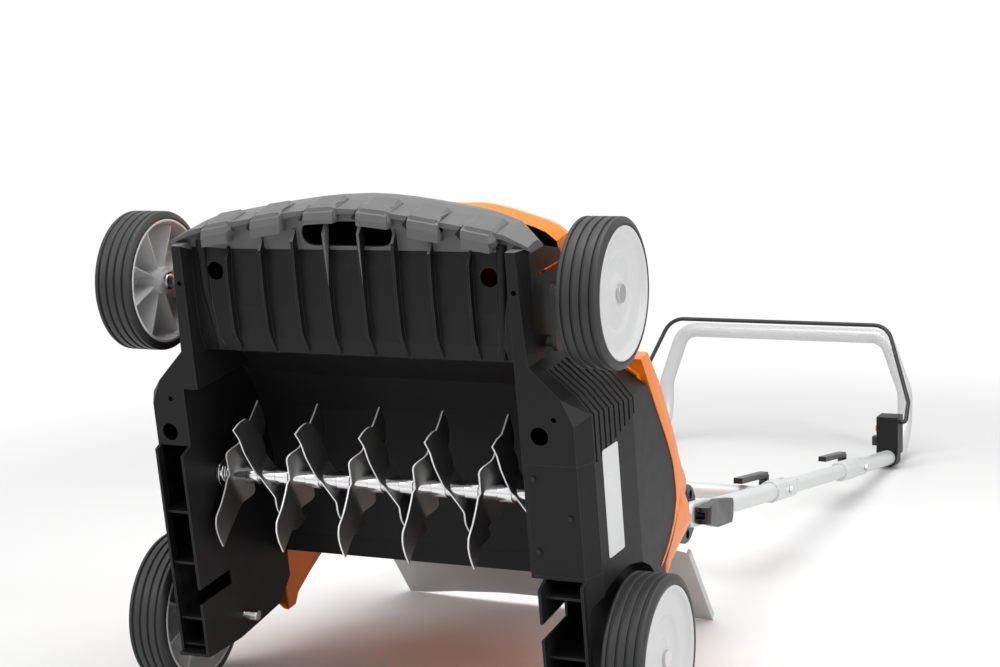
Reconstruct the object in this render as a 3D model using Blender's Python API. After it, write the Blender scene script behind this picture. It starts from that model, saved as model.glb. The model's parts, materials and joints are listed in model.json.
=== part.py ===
"""Electric lawn scarifier, tipped back on its rear wheels and handle for cleaning.

Metres, +Z up.  Every piece is drawn in the machine's own frame: origin on the rear wheel
axis, X to the machine's side, Y towards the handle, Z up in the working position.  The empty
"stance" carries them all and tips the machine back until the rear tyres and the handle's
clamp rings stand on z = 0.  The world origin is under the middle of the tipped machine.
"""

import math

import bmesh
import bpy
from mathutils import Matrix, Vector

# Clearances
GAP = 0.0003
SEAT = 0.0004

# Rear wheels
REAR_R = 0.0884
REAR_TYRE_T = 0.0113
REAR_RIM_R = REAR_R - REAR_TYRE_T
REAR_OUT_X = 0.3070
REAR_W = 0.0460
# Front wheels
FRONT_R = 0.0760
FRONT_TYRE_T = 0.0087
FRONT_RIM_R = FRONT_R - FRONT_TYRE_T
FRONT_OUT_X = 0.2885
FRONT_W = 0.0450
FRONT_Y = -0.3954
FRONT_Z = -0.0124
WHEEL_SIDES = 24
GROOVES = 4
GROOVE_D = 0.0022
HUB_R = 0.0150
WEBS = 8
STUB_R = 0.0060
HEAD_R = 0.0095
HEAD_T = 0.0035

# Depth-setting crank
CRANK_Y = -0.3450
CRANK_Z = -0.0150
CRANK_ARM_X = 0.2120
CRANK_ARM_T = 0.0050
CRANK_ARM_R = 0.0110
DEPTH_LEVER_LEN = 0.1350

# Housing
WALL = 0.0030
RIM_Z = -0.0660
POD_IN_X = 0.1870
POD_FRONT_X = 0.2050
POD_OUT_X = 0.2680
CHAMBER_LEFT_X = -0.2050
LEG_IN_X = 0.2000
LEG_OUT_X = 0.2440
LEG_Z = -0.0830
LEG_WALL_Z = -0.0740
LEG_REAR_Y = 0.0230
RIM_OUT_X = 0.2460
BEVEL_X = 0.2575
BEVEL_Z = -0.0460
FULL_Z = 0.0400
MOTOR_PAD = 0.0080
SLOT_X0 = -0.0510
SLOT_X1 = 0.0550
SLOT_Y = -0.4590
SLOT_W = 0.0260
BELT_COVER_Y0 = -0.2300
BELT_COVER_Y1 = -0.1070
LEFT_FLOOR_Y = -0.2250
NOSE_Y = -0.4900
NOSE_END_X = 0.2060
NOSE_SETBACK_X = 0.1850
NOSE_TOP = ((0.1380, 0.0360), (0.1600, 0.0255), (0.1850, 0.0077), (0.2060, -0.0140))
NOSE_ROWS = 16
HOLLOW_X = 0.1850
NOSE_REAR_Y = -0.4425
LIP_Z = -0.0520
GRILLE_Z = -0.0440
LEFT_JOG_Y = -0.2900
FLARE_Y = -0.3320
GRILLE_REAR_Y = -0.3280
ROOF_REAR_Y = -0.0430
ROOF_TOP_Z = 0.1000
ARCH_R = 0.0980
FIN_X = (0.0200, 0.0580, 0.0980, 0.1400)
FIN_T = 0.0030
FIN_D = 0.0080
BLOCK_X = (-0.1470, -0.0860, -0.0210, 0.0410, 0.0950, 0.1560)
BLOCK_W = 0.0250
BLOCK_T = 0.0065
BLOCK_SLOPE = 0.0045
ROUND_HOLE_R = 0.0100
SMALL_HOLE_R = 0.0030
SCREW_R = 0.0028
VENTS = 9
VENT_Z = -0.0440
VENT_PITCH = 0.0105
VENT_D = 0.0014

# Cover
COVER_T = 0.0030
COVER_FRONT_Y = -0.4550
MOUTH_X = 0.2135
MOUTH_Y = -0.0140

# Drive
SHAFT_Y = -0.1754
SHAFT_Z = -0.0091
SHAFT_R = 0.0085
SLEEVE_R = 0.0102
BEARING_R = 0.0150
BLADES = 10
BLADE_FIRST_X = CHAMBER_LEFT_X + 0.0220
BLADE_LAST_X = POD_IN_X - 0.0262
BLADE_PITCH = (BLADE_LAST_X - BLADE_FIRST_X) / (BLADES - 1)
BLADE_T = 0.0018
BLADE_OFFSET = 0.0095
BLADE_CREASE = 0.0120
FIRST_ARM_ANGLE = math.radians(-57.5)
NEXT_ARM_ANGLE = math.radians(-144.5)
FIRST_ARM = ((-0.0020, 0.0385), (0.0308, 0.0388), (0.0560, 0.0400), (0.0715, 0.0420), (0.0690, 0.0250),
             (0.0640, 0.0130), (0.0564, 0.0066), (0.0400, 0.0050), (0.0240, 0.0000), (0.0140, -0.0105))
NEXT_ARM = ((0.0105, -0.0200), (0.0233, -0.0288), (0.0552, -0.0285), (0.0700, -0.0265), (0.0790, -0.0135),
            (0.0831, 0.0000), (0.0670, 0.0000), (0.0500, 0.0050), (0.0277, 0.0069), (0.0115, 0.0085))
MOTOR_Y = -0.1250
MOTOR_Z = 0.1600
MOTOR_R = 0.0500
MOTOR_LEN = 0.2000
MOTOR_FEET_X = (0.0300, 0.1300)
MOTOR_WALL = 0.0040
MOTOR_END = 0.0140
ROTOR_R = 0.0300
ROTOR_LEN = 0.1100
MOTOR_SHAFT_R = 0.0060
MOTOR_PULLEY_R = 0.0240
ROTOR_PULLEY_R = 0.0200
PULLEY_X = 0.2100
PULLEY_W = 0.0160
BELT_T = 0.0030
BELT_W = 0.0100

# Handle
PIVOT_Y = -0.0240
PIVOT_Z = 0.3430
LEG_X = 0.2160
LEAN = math.radians(15.35)
LOWER_R = 0.0125
MIDDLE_R = 0.0110
LOOP_R = 0.0125
TUBE_WALL = 0.0015
TUBE_SIDES = 12
FOLD_1 = 0.3780
FOLD_2 = 0.8040
RING_S = 1.0310
FOLD_R = 0.0155
FOLD_1_BACK = 0.0500
FOLD_1_FRONT = 0.0440
FOLD_2_BACK = 0.1050
FOLD_2_FRONT = 0.0240
TONGUE_T = 0.0150
FOLD_BOLT_R = 0.0030
CROSS_S = 0.2850
CROSS_R = 0.0110
FLAT_T = 0.0110
FLAT_W = 0.0320
FLAT_LEN = 0.0500
ROSETTE_R = 0.0360
BRACKET_T = 0.0160
STUD_R = 0.0040
CAM_R = 0.0070
LEVER_V = 0.0150
LEVER_T = 0.0075
LEVER_W = 0.0120
LEVER_LEN = 0.1200
PIVOT_CAM_R = 0.0100
PIVOT_LEVER_T = 0.0100
LOOP_BEND_R = 0.0700
LOOP_Y = 1.4715
LOOP_KINK_Z = 0.1080
LOOP_GRIP_Z = 0.2040
LOOP_GRIP_X = 0.1820
RING_R = 0.0160
RING_LEN = 0.0280
BAIL_R = 0.0035
BAIL_RISE = 0.0240
BAIL_OUT = 0.0260
BUTTON_TRAVEL = 0.0030

# Rear flap
FLAP_Y = -0.0060
FLAP_Z = 0.3180
FLAP_LEN = 0.1756
FLAP_T = 0.0025
FLAP_X = 0.2120
FLAP_NECK_X = 0.1860
FLAP_NECK = 0.0340
FLAP_ARCH = 0.0170
FLAP_EDGE = 0.0080
HINGE_R = 0.0045
PIN_R = 0.0020

# Colours: base colour, roughness, metallic
LOOKS = {
    "black_plastic": ((0.018, 0.018, 0.020), 0.50, 0.0),
    "orange_plastic": ((0.830, 0.235, 0.020), 0.38, 0.0),
    "rubber": ((0.028, 0.028, 0.030), 0.62, 0.0),
    "rim_plastic": ((0.560, 0.560, 0.570), 0.45, 0.0),
    "flap_grey": ((0.300, 0.305, 0.310), 0.50, 0.0),
    "steel": ((0.640, 0.640, 0.650), 0.24, 1.0),
    "blade_steel": ((0.230, 0.230, 0.240), 0.34, 1.0),
    "tube_paint": ((0.680, 0.685, 0.690), 0.34, 0.0),
    "motor_paint": ((0.100, 0.102, 0.105), 0.45, 0.3),
}

for old in list(bpy.data.objects):
    bpy.data.objects.remove(old, do_unlink=True)

# Tip angle: the rear tyres and the far ends of the clamp rings share one tangent plane
RING_Y = PIVOT_Y + RING_S * math.sin(LEAN)
RING_Z = PIVOT_Z + RING_S * math.cos(LEAN)
FOOT_Y = RING_Y + RING_LEN / 2 * math.sin(LEAN)
FOOT_Z = RING_Z + RING_LEN / 2 * math.cos(LEAN)
TIP = math.acos((RING_R - REAR_R) / math.hypot(FOOT_Y, FOOT_Z)) - math.atan2(FOOT_Y, FOOT_Z)
LEG_DIR = Vector((0, math.sin(LEAN), math.cos(LEAN)))
LEG_UP = Vector((0, -math.cos(LEAN), math.sin(LEAN)))
PIVOT = Vector((0, PIVOT_Y, PIVOT_Z))

stance = bpy.data.objects.new("stance", None)
bpy.context.scene.collection.objects.link(stance)
TIP_MATRIX = Matrix.Rotation(-TIP, 4, "X")


def tipped(y, z):
    """Height above the floor and distance behind the rear axle of a machine point."""
    return (y * math.cos(TIP) + z * math.sin(TIP), -y * math.sin(TIP) + z * math.cos(TIP) + REAR_R)


def machine(y_w, z_w):
    """Machine point of a tipped distance and height."""
    z = z_w - REAR_R
    return (y_w * math.cos(TIP) - z * math.sin(TIP), y_w * math.sin(TIP) + z * math.cos(TIP))


def material(slot):
    mat = bpy.data.materials.get(slot)
    if mat is None:
        colour, rough, metal = LOOKS[slot]
        mat = bpy.data.materials.new(slot)
        mat.use_nodes = True
        shader = mat.node_tree.nodes["Principled BSDF"]
        shader.inputs["Base Color"].default_value = (*colour, 1)
        shader.inputs["Roughness"].default_value = rough
        shader.inputs["Metallic"].default_value = metal
        mat.diffuse_color = (*colour, 1)
    return mat


def from_bm(bm):
    bmesh.ops.recalc_face_normals(bm, faces=bm.faces)
    if bm.calc_volume(signed=True) < 0:
        bmesh.ops.reverse_faces(bm, faces=bm.faces)
    mesh = bpy.data.meshes.new("shape")
    bm.to_mesh(mesh)
    bm.free()
    obj = bpy.data.objects.new("shape", mesh)
    bpy.context.scene.collection.objects.link(obj)
    return obj


def boolean(obj, tool, operation, keep=False):
    """Join, cut or intersect obj with tool, and use the result as obj's mesh."""
    mod = obj.modifiers.new("bool", "BOOLEAN")
    mod.operation = operation
    mod.solver = "EXACT"
    mod.object = tool
    bpy.context.view_layer.update()
    graph = bpy.context.evaluated_depsgraph_get()
    mesh = bpy.data.meshes.new_from_object(obj.evaluated_get(graph))
    obj.modifiers.clear()
    obj.data = mesh
    if not keep:
        bpy.data.objects.remove(tool, do_unlink=True)
    return obj


def cut(obj, tool, keep=False):
    return boolean(obj, tool, "DIFFERENCE", keep)


def join(obj, tool, keep=False):
    return boolean(obj, tool, "UNION", keep)


def keep_inside(obj, tool, keep=False):
    return boolean(obj, tool, "INTERSECT", keep)


def copy(obj):
    other = bpy.data.objects.new("copy", obj.data.copy())
    bpy.context.scene.collection.objects.link(other)
    return other


def prism(outline, low, high, axis="X"):
    """Extrude a closed outline along one machine axis, between low and high."""
    def point(a, b, c):
        if axis == "X":
            return (c, a, b)
        if axis == "Y":
            return (a, c, b)
        return (a, b, c)
    bm = bmesh.new()
    bottom = [bm.verts.new(point(a, b, low)) for a, b in outline]
    top = [bm.verts.new(point(a, b, high)) for a, b in outline]
    n = len(outline)
    bm.faces.new(bottom)
    bm.faces.new(top)
    for i in range(n):
        j = (i + 1) % n
        bm.faces.new((bottom[i], bottom[j], top[j], top[i]))
    return from_bm(bm)


def rings_solid(rings, closed=False):
    """Skin a row of equal rings; the ends are capped, or joined when closed."""
    bm = bmesh.new()
    made = [[bm.verts.new(p) for p in ring] for ring in rings]
    count = len(made)
    sides = len(made[0])
    for k in range(count if closed else count - 1):
        a = made[k]
        b = made[(k + 1) % count]
        for i in range(sides):
            j = (i + 1) % sides
            bm.faces.new((a[i], a[j], b[j], b[i]))
    if not closed:
        bm.faces.new(made[0])
        bm.faces.new(made[-1])
    return from_bm(bm)


def circle_ring(centre, u, v, ru, rv, sides):
    return [centre + u * (ru * math.cos(2 * math.pi * (i + 0.5) / sides))
            + v * (rv * math.sin(2 * math.pi * (i + 0.5) / sides)) for i in range(sides)]


def turned(profile, sides, centre=(0, 0), closed=True):
    """Turn a profile of (x, radius) points about an X line through centre (y, z)."""
    rings = []
    for x, r in profile:
        c = Vector((x, centre[0], centre[1]))
        rings.append(circle_ring(c, Vector((0, 1, 0)), Vector((0, 0, 1)), r, r, sides))
    return rings_solid(rings, closed)


def rod_x(x0, x1, r, sides, centre):
    return turned(((x0, r), (x1, r)), sides, centre, False)


def box(x0, x1, y0, y1, z0, z1):
    return prism(((y0, z0), (y1, z0), (y1, z1), (y0, z1)), x0, x1)


def disc_outline(y, z, r, sides):
    return [(y + r * math.cos(2 * math.pi * i / sides), z + r * math.sin(2 * math.pi * i / sides))
            for i in range(sides)]


def hull_two(c1, r1, c2, r2, steps):
    """Outline round two circles and their outer tangents."""
    away = math.atan2(c2[1] - c1[1], c2[0] - c1[0])
    dist = math.hypot(c2[0] - c1[0], c2[1] - c1[1])
    lean = math.acos((r1 - r2) / dist)
    points = []
    for k in range(steps + 1):
        a = away + lean + (2 * math.pi - 2 * lean) * k / steps
        points.append((c1[0] + r1 * math.cos(a), c1[1] + r1 * math.sin(a)))
    for k in range(steps + 1):
        a = away - lean + 2 * lean * k / steps
        points.append((c2[0] + r2 * math.cos(a), c2[1] + r2 * math.sin(a)))
    return points


def offset_line(points, width):
    """Closed outline of a strip that lies on one side of an open (y, z) line."""
    other = []
    for i, p in enumerate(points):
        before = points[max(i - 1, 0)]
        after = points[min(i + 1, len(points) - 1)]
        d = Vector((after[0] - before[0], after[1] - before[1])).normalized()
        other.append((p[0] - d.y * width, p[1] + d.x * width))
    return list(points) + other[::-1]


def fillet_path(corners, radii, step):
    """Points along a line of corners, each rounded by its radius."""
    points = [corners[0]]
    for i in range(1, len(corners) - 1):
        p = corners[i]
        a = (corners[i - 1] - p).normalized()
        b = (corners[i + 1] - p).normalized()
        turn = math.pi - a.angle(b)
        reach = radii[i] * math.tan(turn / 2)
        centre = p + (a + b).normalized() * (radii[i] / math.cos(turn / 2))
        start = p + a * reach - centre
        axis = a.cross(b).normalized()
        count = max(2, math.ceil(turn / step))
        for k in range(count + 1):
            spin = Matrix.Rotation(-turn * k / count, 3, axis)
            points.append(centre + spin @ start)
    points.append(corners[-1])
    return points


def tube(points, r, wall, sides):
    """Hollow tube along points, open at both ends; wall 0 makes a rod."""
    outer = []
    inner = []
    u = None
    for i, p in enumerate(points):
        d1 = (points[i] - points[i - 1]).normalized() if i > 0 else None
        d2 = (points[i + 1] - points[i]).normalized() if i < len(points) - 1 else None
        d = ((d1 or d2) + (d2 or d1)).normalized()
        if u is None:
            u = d.orthogonal().normalized()
        u = (u - d * u.dot(d)).normalized()
        v = d.cross(u)
        stretch = 1 / max(0.5, d.dot(d2 or d1))
        outer.append(circle_ring(p, u, v, r * stretch ** 0.5, r * stretch ** 0.5, sides))
        inner.append(circle_ring(p, u, v, r - wall, r - wall, sides))
    if not wall:
        return rings_solid(outer)
    return rings_solid(outer + inner[::-1], True)


def node(name, obj, slot, pivot=(0, 0, 0)):
    """Name a finished piece, colour it, put its origin on its axis and stand it on the stance."""
    pivot = Vector(pivot)
    obj.data.transform(Matrix.Translation(-pivot))
    obj.name = name
    obj.data.name = name
    obj.data.materials.clear()
    obj.data.materials.append(material(slot))
    obj.data.shade_smooth()
    obj.data.set_sharp_from_angle(angle=math.radians(35))
    obj.location = pivot
    obj.parent = stance
    return obj


def side_name(side):
    return "right" if side > 0 else "left"


def mirror_x(obj):
    obj.data.transform(Matrix.Scale(-1, 4, Vector((1, 0, 0))))
    obj.data.flip_normals()
    return obj


# Wheels
def make_tyre(r, rim_r, width):
    h = width / 2
    lip = 0.0050
    profile = [(-h, rim_r + GAP), (-h, r - lip)]
    land = (width - 0.0060) / GROOVES
    for g in range(GROOVES):
        x = -h + 0.0030 + land * (g + 0.5)
        profile.append((x - land * 0.22, r))
        profile.append((x, r - GROOVE_D))
        profile.append((x + land * 0.22, r))
    profile += [(h, r - lip), (h, rim_r + GAP)]
    return turned(profile, WHEEL_SIDES)


def make_rim(rim_r, width):
    """Dished disc near the outer side, barrel, hub and webs; the outer side faces +X."""
    h = width / 2
    bore = STUB_R + GAP
    ring = 0.60 * rim_r
    profile = [
        (-h + 0.0020, bore), (h - 0.0060, bore), (h - 0.0060, HUB_R), (h - 0.0095, HUB_R + 0.0050),
        (h - 0.0095, ring - 0.0030), (h - 0.0065, ring), (h - 0.0065, rim_r - 0.0080),
        (h - 0.0010, rim_r - 0.0035), (h, rim_r - 0.0010), (h - 0.0010, rim_r), (-h, rim_r),
        (-h, rim_r - WALL), (h - 0.0120, rim_r - 0.0060), (h - 0.0130, HUB_R),
        (-h + 0.0020, HUB_R),
    ]
    rim = turned(profile, WHEEL_SIDES)
    for k in range(WEBS):
        web = box(-h + 0.0080, h - 0.0110, HUB_R - 0.0015, rim_r - WALL / 2, -0.0012, 0.0012)
        web.data.transform(Matrix.Rotation(2 * math.pi * (k + 0.5) / WEBS, 4, "X"))
        join(rim, web)
    return rim


def make_wheels():
    sets = (("rear", REAR_R, REAR_RIM_R, REAR_W, REAR_OUT_X, 0.0, 0.0),
            ("front", FRONT_R, FRONT_RIM_R, FRONT_W, FRONT_OUT_X, FRONT_Y, FRONT_Z))
    for place, r, rim_r, width, out_x, y, z in sets:
        for side in (1, -1):
            centre = Vector((side * (out_x - width / 2), y, z))
            tyre = make_tyre(r, rim_r, width)
            rim = make_rim(rim_r, width)
            if side < 0:
                mirror_x(tyre)
                mirror_x(rim)
            for obj, name, slot in ((tyre, "tyre", "rubber"), (rim, "wheel", "rim_plastic")):
                obj.data.transform(Matrix.Translation(centre))
                node(f"{place}_{name}_{side_name(side)}", obj, slot, centre)


def make_rear_axles():
    inner = LEG_IN_X - 0.0120
    face = REAR_OUT_X - 0.0060
    for side in (1, -1):
        axle = turned(((inner, STUB_R - 0.001), (inner + 0.001, STUB_R), (face + GAP, STUB_R),
                       (face + GAP, HEAD_R), (face + GAP + HEAD_T, HEAD_R)), 12, (0, 0), False)
        washer_x0 = LEG_OUT_X + WALL + GAP
        washer = rod_x(washer_x0, REAR_OUT_X - REAR_W + 0.0020 - GAP, HEAD_R, 12, (0, 0))
        join(axle, washer)
        if side < 0:
            mirror_x(axle)
        node(f"rear_axle_{side_name(side)}", axle, "steel", (side * LEG_OUT_X, 0, 0))


def make_front_crank():
    """Rod across the machine, an arm and stub at each end, and the depth lever on the left."""
    pivot = (CRANK_Y, CRANK_Z)
    crank = rod_x(-CRANK_ARM_X - CRANK_ARM_T, CRANK_ARM_X + CRANK_ARM_T, STUB_R, 12, pivot)
    face = FRONT_OUT_X - 0.0060
    for side in (1, -1):
        x0, x1 = sorted((side * CRANK_ARM_X, side * (CRANK_ARM_X + CRANK_ARM_T)))
        arm = prism(hull_two(pivot, CRANK_ARM_R, (FRONT_Y, FRONT_Z), CRANK_ARM_R, 6), x0, x1)
        join(crank, arm)
        stub = turned(((CRANK_ARM_X + 0.001, STUB_R + 0.002),
                       (FRONT_OUT_X - FRONT_W + 0.0020 - GAP, STUB_R + 0.002),
                       (FRONT_OUT_X - FRONT_W + 0.0020 - GAP, STUB_R),
                       (face + GAP, STUB_R), (face + GAP, HEAD_R), (face + GAP + HEAD_T, HEAD_R)),
                      12, (FRONT_Y, FRONT_Z), False)
        if side < 0:
            mirror_x(stub)
        join(crank, stub)
    reach = (CRANK_Y - 0.0350, CRANK_Z + DEPTH_LEVER_LEN)
    lever = prism(hull_two(pivot, 0.0090, reach, 0.0070, 5), -CRANK_ARM_X - CRANK_ARM_T, -CRANK_ARM_X)
    join(crank, lever)
    knob = disc_outline(reach[0], reach[1], 0.0120, 16)
    join(crank, prism(knob, -CRANK_ARM_X - 0.0120, -CRANK_ARM_X + 0.0015))
    node("front_crank_axle", crank, "motor_paint", (0, *pivot))


# Housing
def bow(x):
    """How far the nose line falls back at a distance x from the middle."""
    return 0.19 * (math.sqrt(x * x + 0.060 ** 2) - 0.060)


def nose_top(x):
    """Height of the nose's upper edge, which comes down towards its ends."""
    before = NOSE_TOP[0]
    for point in NOSE_TOP:
        if abs(x) <= point[0]:
            share = (abs(x) - before[0]) / max(point[0] - before[0], 1e-9)
            return before[1] + (point[1] - before[1]) * max(share, 0.0)
        before = point
    return NOSE_TOP[-1][1]


def nose_front(x):
    return NOSE_Y + bow(x) + 0.4 * max(0.0, abs(x) - NOSE_SETBACK_X)


def nose_outer(x, grow=0.0):
    y = nose_front(x) - grow
    top = nose_top(x) + grow
    brow = min(0.0080, top - 0.0140)
    chin = min(-0.0200, brow - 0.0080)
    rear = NOSE_REAR_Y + grow
    k = min(1.0, (rear - y - 0.0010) / 0.0120)
    return [(y + 0.0030 * k, LIP_Z), (y, chin), (y, brow), (y + 0.0040 * k, top - 0.008),
            (y + 0.0110 * k, top), (rear, top), (rear, GRILLE_Z),
            (y + 0.0120 * k, GRILLE_Z), (y + 0.0080 * k, LIP_Z)]


def nose_inner(x):
    y = nose_front(x) + WALL
    top = nose_top(x) - WALL
    brow = min(0.0070, top - 0.0110)
    chin = min(-0.0190, brow - 0.0080)
    back = NOSE_REAR_Y + 0.010
    return [(y + 0.0020, GRILLE_Z + WALL), (y, chin), (y, brow), (y + 0.0040, top - 0.007),
            (y + 0.0070, top), (back, top), (back, GRILLE_Z + WALL)]


def nose_rows(reach, count, section):
    rows = []
    for k in range(count + 1):
        x = reach * (2 * k / count - 1)
        rows.append([(x, y, z) for y, z in section(x)])
    return rings_solid(rows)


def make_nose():
    """Bowed bumper: a hollow moulding with solid ends and raised tread blocks."""
    nose = nose_rows(NOSE_END_X, NOSE_ROWS, nose_outer)
    cut(nose, nose_rows(HOLLOW_X, NOSE_ROWS - 2, nose_inner))
    for x in BLOCK_X:
        join(nose, make_block(x))
    return nose


def make_block(x):
    """Raised tread block that wraps round the nose's lower edge."""
    half = BLOCK_W / 2
    rings = []
    for dx, lift in ((-half - BLOCK_SLOPE, 0.0), (-half, 1.0), (half, 1.0), (half + BLOCK_SLOPE, 0.0)):
        u = x + dx
        y = nose_front(u)
        t = BLOCK_T * lift
        section = [(y + 0.0020, -0.0100), (y - 0.0010 - 0.6 * t, -0.0220),
                   (y + 0.0025 - 0.3 * t, LIP_Z - 0.0005 - 0.2 * t),
                   (y + 0.0100 + 0.4 * t, LIP_Z - 0.0005 - t),
                   (y + 0.0140 + t, LIP_Z + 0.0030), (y + 0.0140 + t, GRILLE_Z + 0.0015),
                   (y + 0.0095, GRILLE_Z + 0.0015), (y + 0.0060, GRILLE_Z - 0.0065),
                   (y + 0.0035, GRILLE_Z - 0.0065)]
        rings.append([(u, v, w) for v, w in section])
    return rings_solid(rings)


def make_roof():
    """Grille floor, chamber front wall, roof and rear lip as one bent sheet."""
    inner = [(NOSE_REAR_Y - 0.0060, GRILLE_Z + 0.0016), (NOSE_REAR_Y + 0.0040, GRILLE_Z + 0.0010),
             (-0.4250, -0.0460), (-0.3800, -0.0480), (-0.3450, -0.0460),
             (GRILLE_REAR_Y, -0.0400), (GRILLE_REAR_Y + 0.006, -0.0120), (-0.3060, 0.0280),
             (-0.2700, 0.0660), (-0.2220, 0.0900), (-0.1650, ROOF_TOP_Z), (-0.1050, ROOF_TOP_Z + 0.002),
             (-0.0640, ROOF_TOP_Z - 0.002), (ROOF_REAR_Y, 0.0920)]
    roof = prism(offset_line(inner, WALL), CHAMBER_LEFT_X - WALL / 2, POD_IN_X + WALL / 2)
    cut(roof, box(-0.300, -POD_IN_X - WALL / 2, -0.600, LEFT_JOG_Y - WALL / 2, -0.200, 0.200))
    for x in MOTOR_FEET_X:
        pad = prism(((MOTOR_Y - 0.030, ROOF_TOP_Z + 0.001), (MOTOR_Y + 0.030, ROOF_TOP_Z + 0.001),
                     (MOTOR_Y + 0.030, ROOF_TOP_Z + MOTOR_PAD), (MOTOR_Y - 0.030, ROOF_TOP_Z + MOTOR_PAD)),
                    x - 0.0150, x + 0.0150)
        join(roof, pad)
    return roof


def add_grille(body):
    """Carrying slot, round access holes and the eight fins under the front."""
    r = SLOT_W / 2
    slot = hull_two((SLOT_X0 + r, SLOT_Y), r, (SLOT_X1 - r, SLOT_Y), r, 6)
    cut(body, prism(slot, -0.070, GRILLE_Z + 0.010, "Z"))
    for side in (1, -1):
        hole = prism(disc_outline(side * 0.1590, -0.4170, ROUND_HOLE_R, 20), -0.060, -0.035, "Z")
        cut(body, hole)
        for k, x in enumerate(FIN_X):
            front = SLOT_Y - SLOT_W / 2 - 0.001 if k == 0 else -0.4740 + 0.010 * k
            under = [(front, GRILLE_Z - 0.001), (front + 0.012, -0.0460 - FIN_D), (-0.4050, -0.0480 - FIN_D),
                     (-0.3550, -0.0470 - FIN_D), (GRILLE_REAR_Y - 0.004, -0.0400 - FIN_D / 2),
                     (GRILLE_REAR_Y + 0.002, -0.0370), (-0.3500, -0.0450), (-0.3800, -0.0465),
                     (-0.4250, -0.0446), (front + 0.004, GRILLE_Z + 0.0015)]
            x0, x1 = side * x - FIN_T / 2, side * x + FIN_T / 2
            join(body, prism(under, x0, x1))


PARTING = ((-0.4480, -0.0300), (-0.4300, 0.0300), (-0.3700, 0.0500), (-0.2906, 0.0704),
           (-0.2548, 0.0977), (-0.2188, 0.1229), (-0.1839, 0.1426), (-0.1513, 0.1533),
           (-0.1206, 0.1579), (-0.0986, 0.1539), (-0.0772, 0.1334), (-0.0600, 0.1080),
           (-0.0300, 0.1040), (0.0240, 0.1040))


def side_view(floor_y):
    """Housing side outline: rim, leg, rear edge and the line where the cover parts."""
    lower = [(-0.4480, RIM_Z), (floor_y, RIM_Z), (floor_y + 0.006, LEG_Z)]
    top = [(y, z - GAP) for y, z in PARTING if y < -0.0200]
    return lower + leg_rear(0.0) + top[::-1]


def leg_rear(shrink):
    s = shrink
    return [(LEG_REAR_Y - 0.006 - s, LEG_Z), (LEG_REAR_Y - s, -0.0140), (LEG_REAR_Y - 0.005 - s, 0.0780),
            (-0.0060 - s, 0.1040 - GAP)]


def pod_outline(points, shrink, jog_y, wall_x):
    """Plan outline of a side pod: given outer points, and an inner edge with a step at jog_y."""
    s = shrink
    front = -0.4480 + s
    rear = LEG_REAR_Y + 0.0100
    inner = [(wall_x + s, rear), (wall_x + s, jog_y - s), (POD_IN_X + s, jog_y - s)]
    return [(POD_IN_X + s, front)] + points + inner


def pod_full(shrink, jog_y, wall_x):
    s = shrink
    points = [(POD_FRONT_X - s, -0.4480 + s), (POD_FRONT_X - s, FLARE_Y - 0.4 * s),
              (0.2500 - 0.7 * s, -0.2920 + 0.3 * s), (POD_OUT_X - s, -0.2700 + 0.2 * s),
              (POD_OUT_X - s, LEG_REAR_Y + 0.0100)]
    return pod_outline(points, s, jog_y, wall_x)


def pod_bevel(shrink, jog_y, wall_x):
    s = shrink
    points = [(POD_FRONT_X - 0.0015 - s, -0.4480 + s), (POD_FRONT_X - 0.0015 - s, FLARE_Y - 0.4 * s),
              (0.2420 - 0.7 * s, -0.29778 + 0.3 * s), (BEVEL_X - s, -0.27884 + 0.2 * s),
              (BEVEL_X - s, LEG_REAR_Y + 0.0100)]
    return pod_outline(points, s, jog_y, wall_x)


def pod_rim(shrink, jog_y, wall_x):
    s = shrink
    points = [(0.1970 - s, -0.4480 + s), (0.2015 - s, FLARE_Y - 0.4 * s),
              (0.2340 - 0.7 * s, -0.2990 + 0.3 * s), (RIM_OUT_X - s, -0.2720 + 0.2 * s),
              (RIM_OUT_X - s, LEG_REAR_Y + 0.0100)]
    return pod_outline(points, s, jog_y, wall_x)


def pod_block(shrink, bottom, jog_y, wall_x):
    rim = pod_rim(shrink, jog_y, wall_x)
    bevel = pod_bevel(shrink, jog_y, wall_x)
    full = pod_full(shrink, jog_y, wall_x)
    rows = ((rim, bottom), (rim, RIM_Z + shrink), (bevel, BEVEL_Z + shrink * 0.4), (full, FULL_Z),
            (full, 0.2200))
    return rings_solid([[(x, y, z) for x, y in outline] for outline, z in rows])


def wall_points(z, shrink):
    """Plan outline of the pod's outer wall at height z, between its bevel and its widest line."""
    share = max(0.0, min(1.0, (z - BEVEL_Z) / (FULL_Z - BEVEL_Z)))
    low = pod_bevel(shrink, 0, 0)
    high = pod_full(shrink, 0, 0)
    return [(a[0] + (b[0] - a[0]) * share, a[1] + (b[1] - a[1]) * share) for a, b in zip(low, high)]


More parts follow.
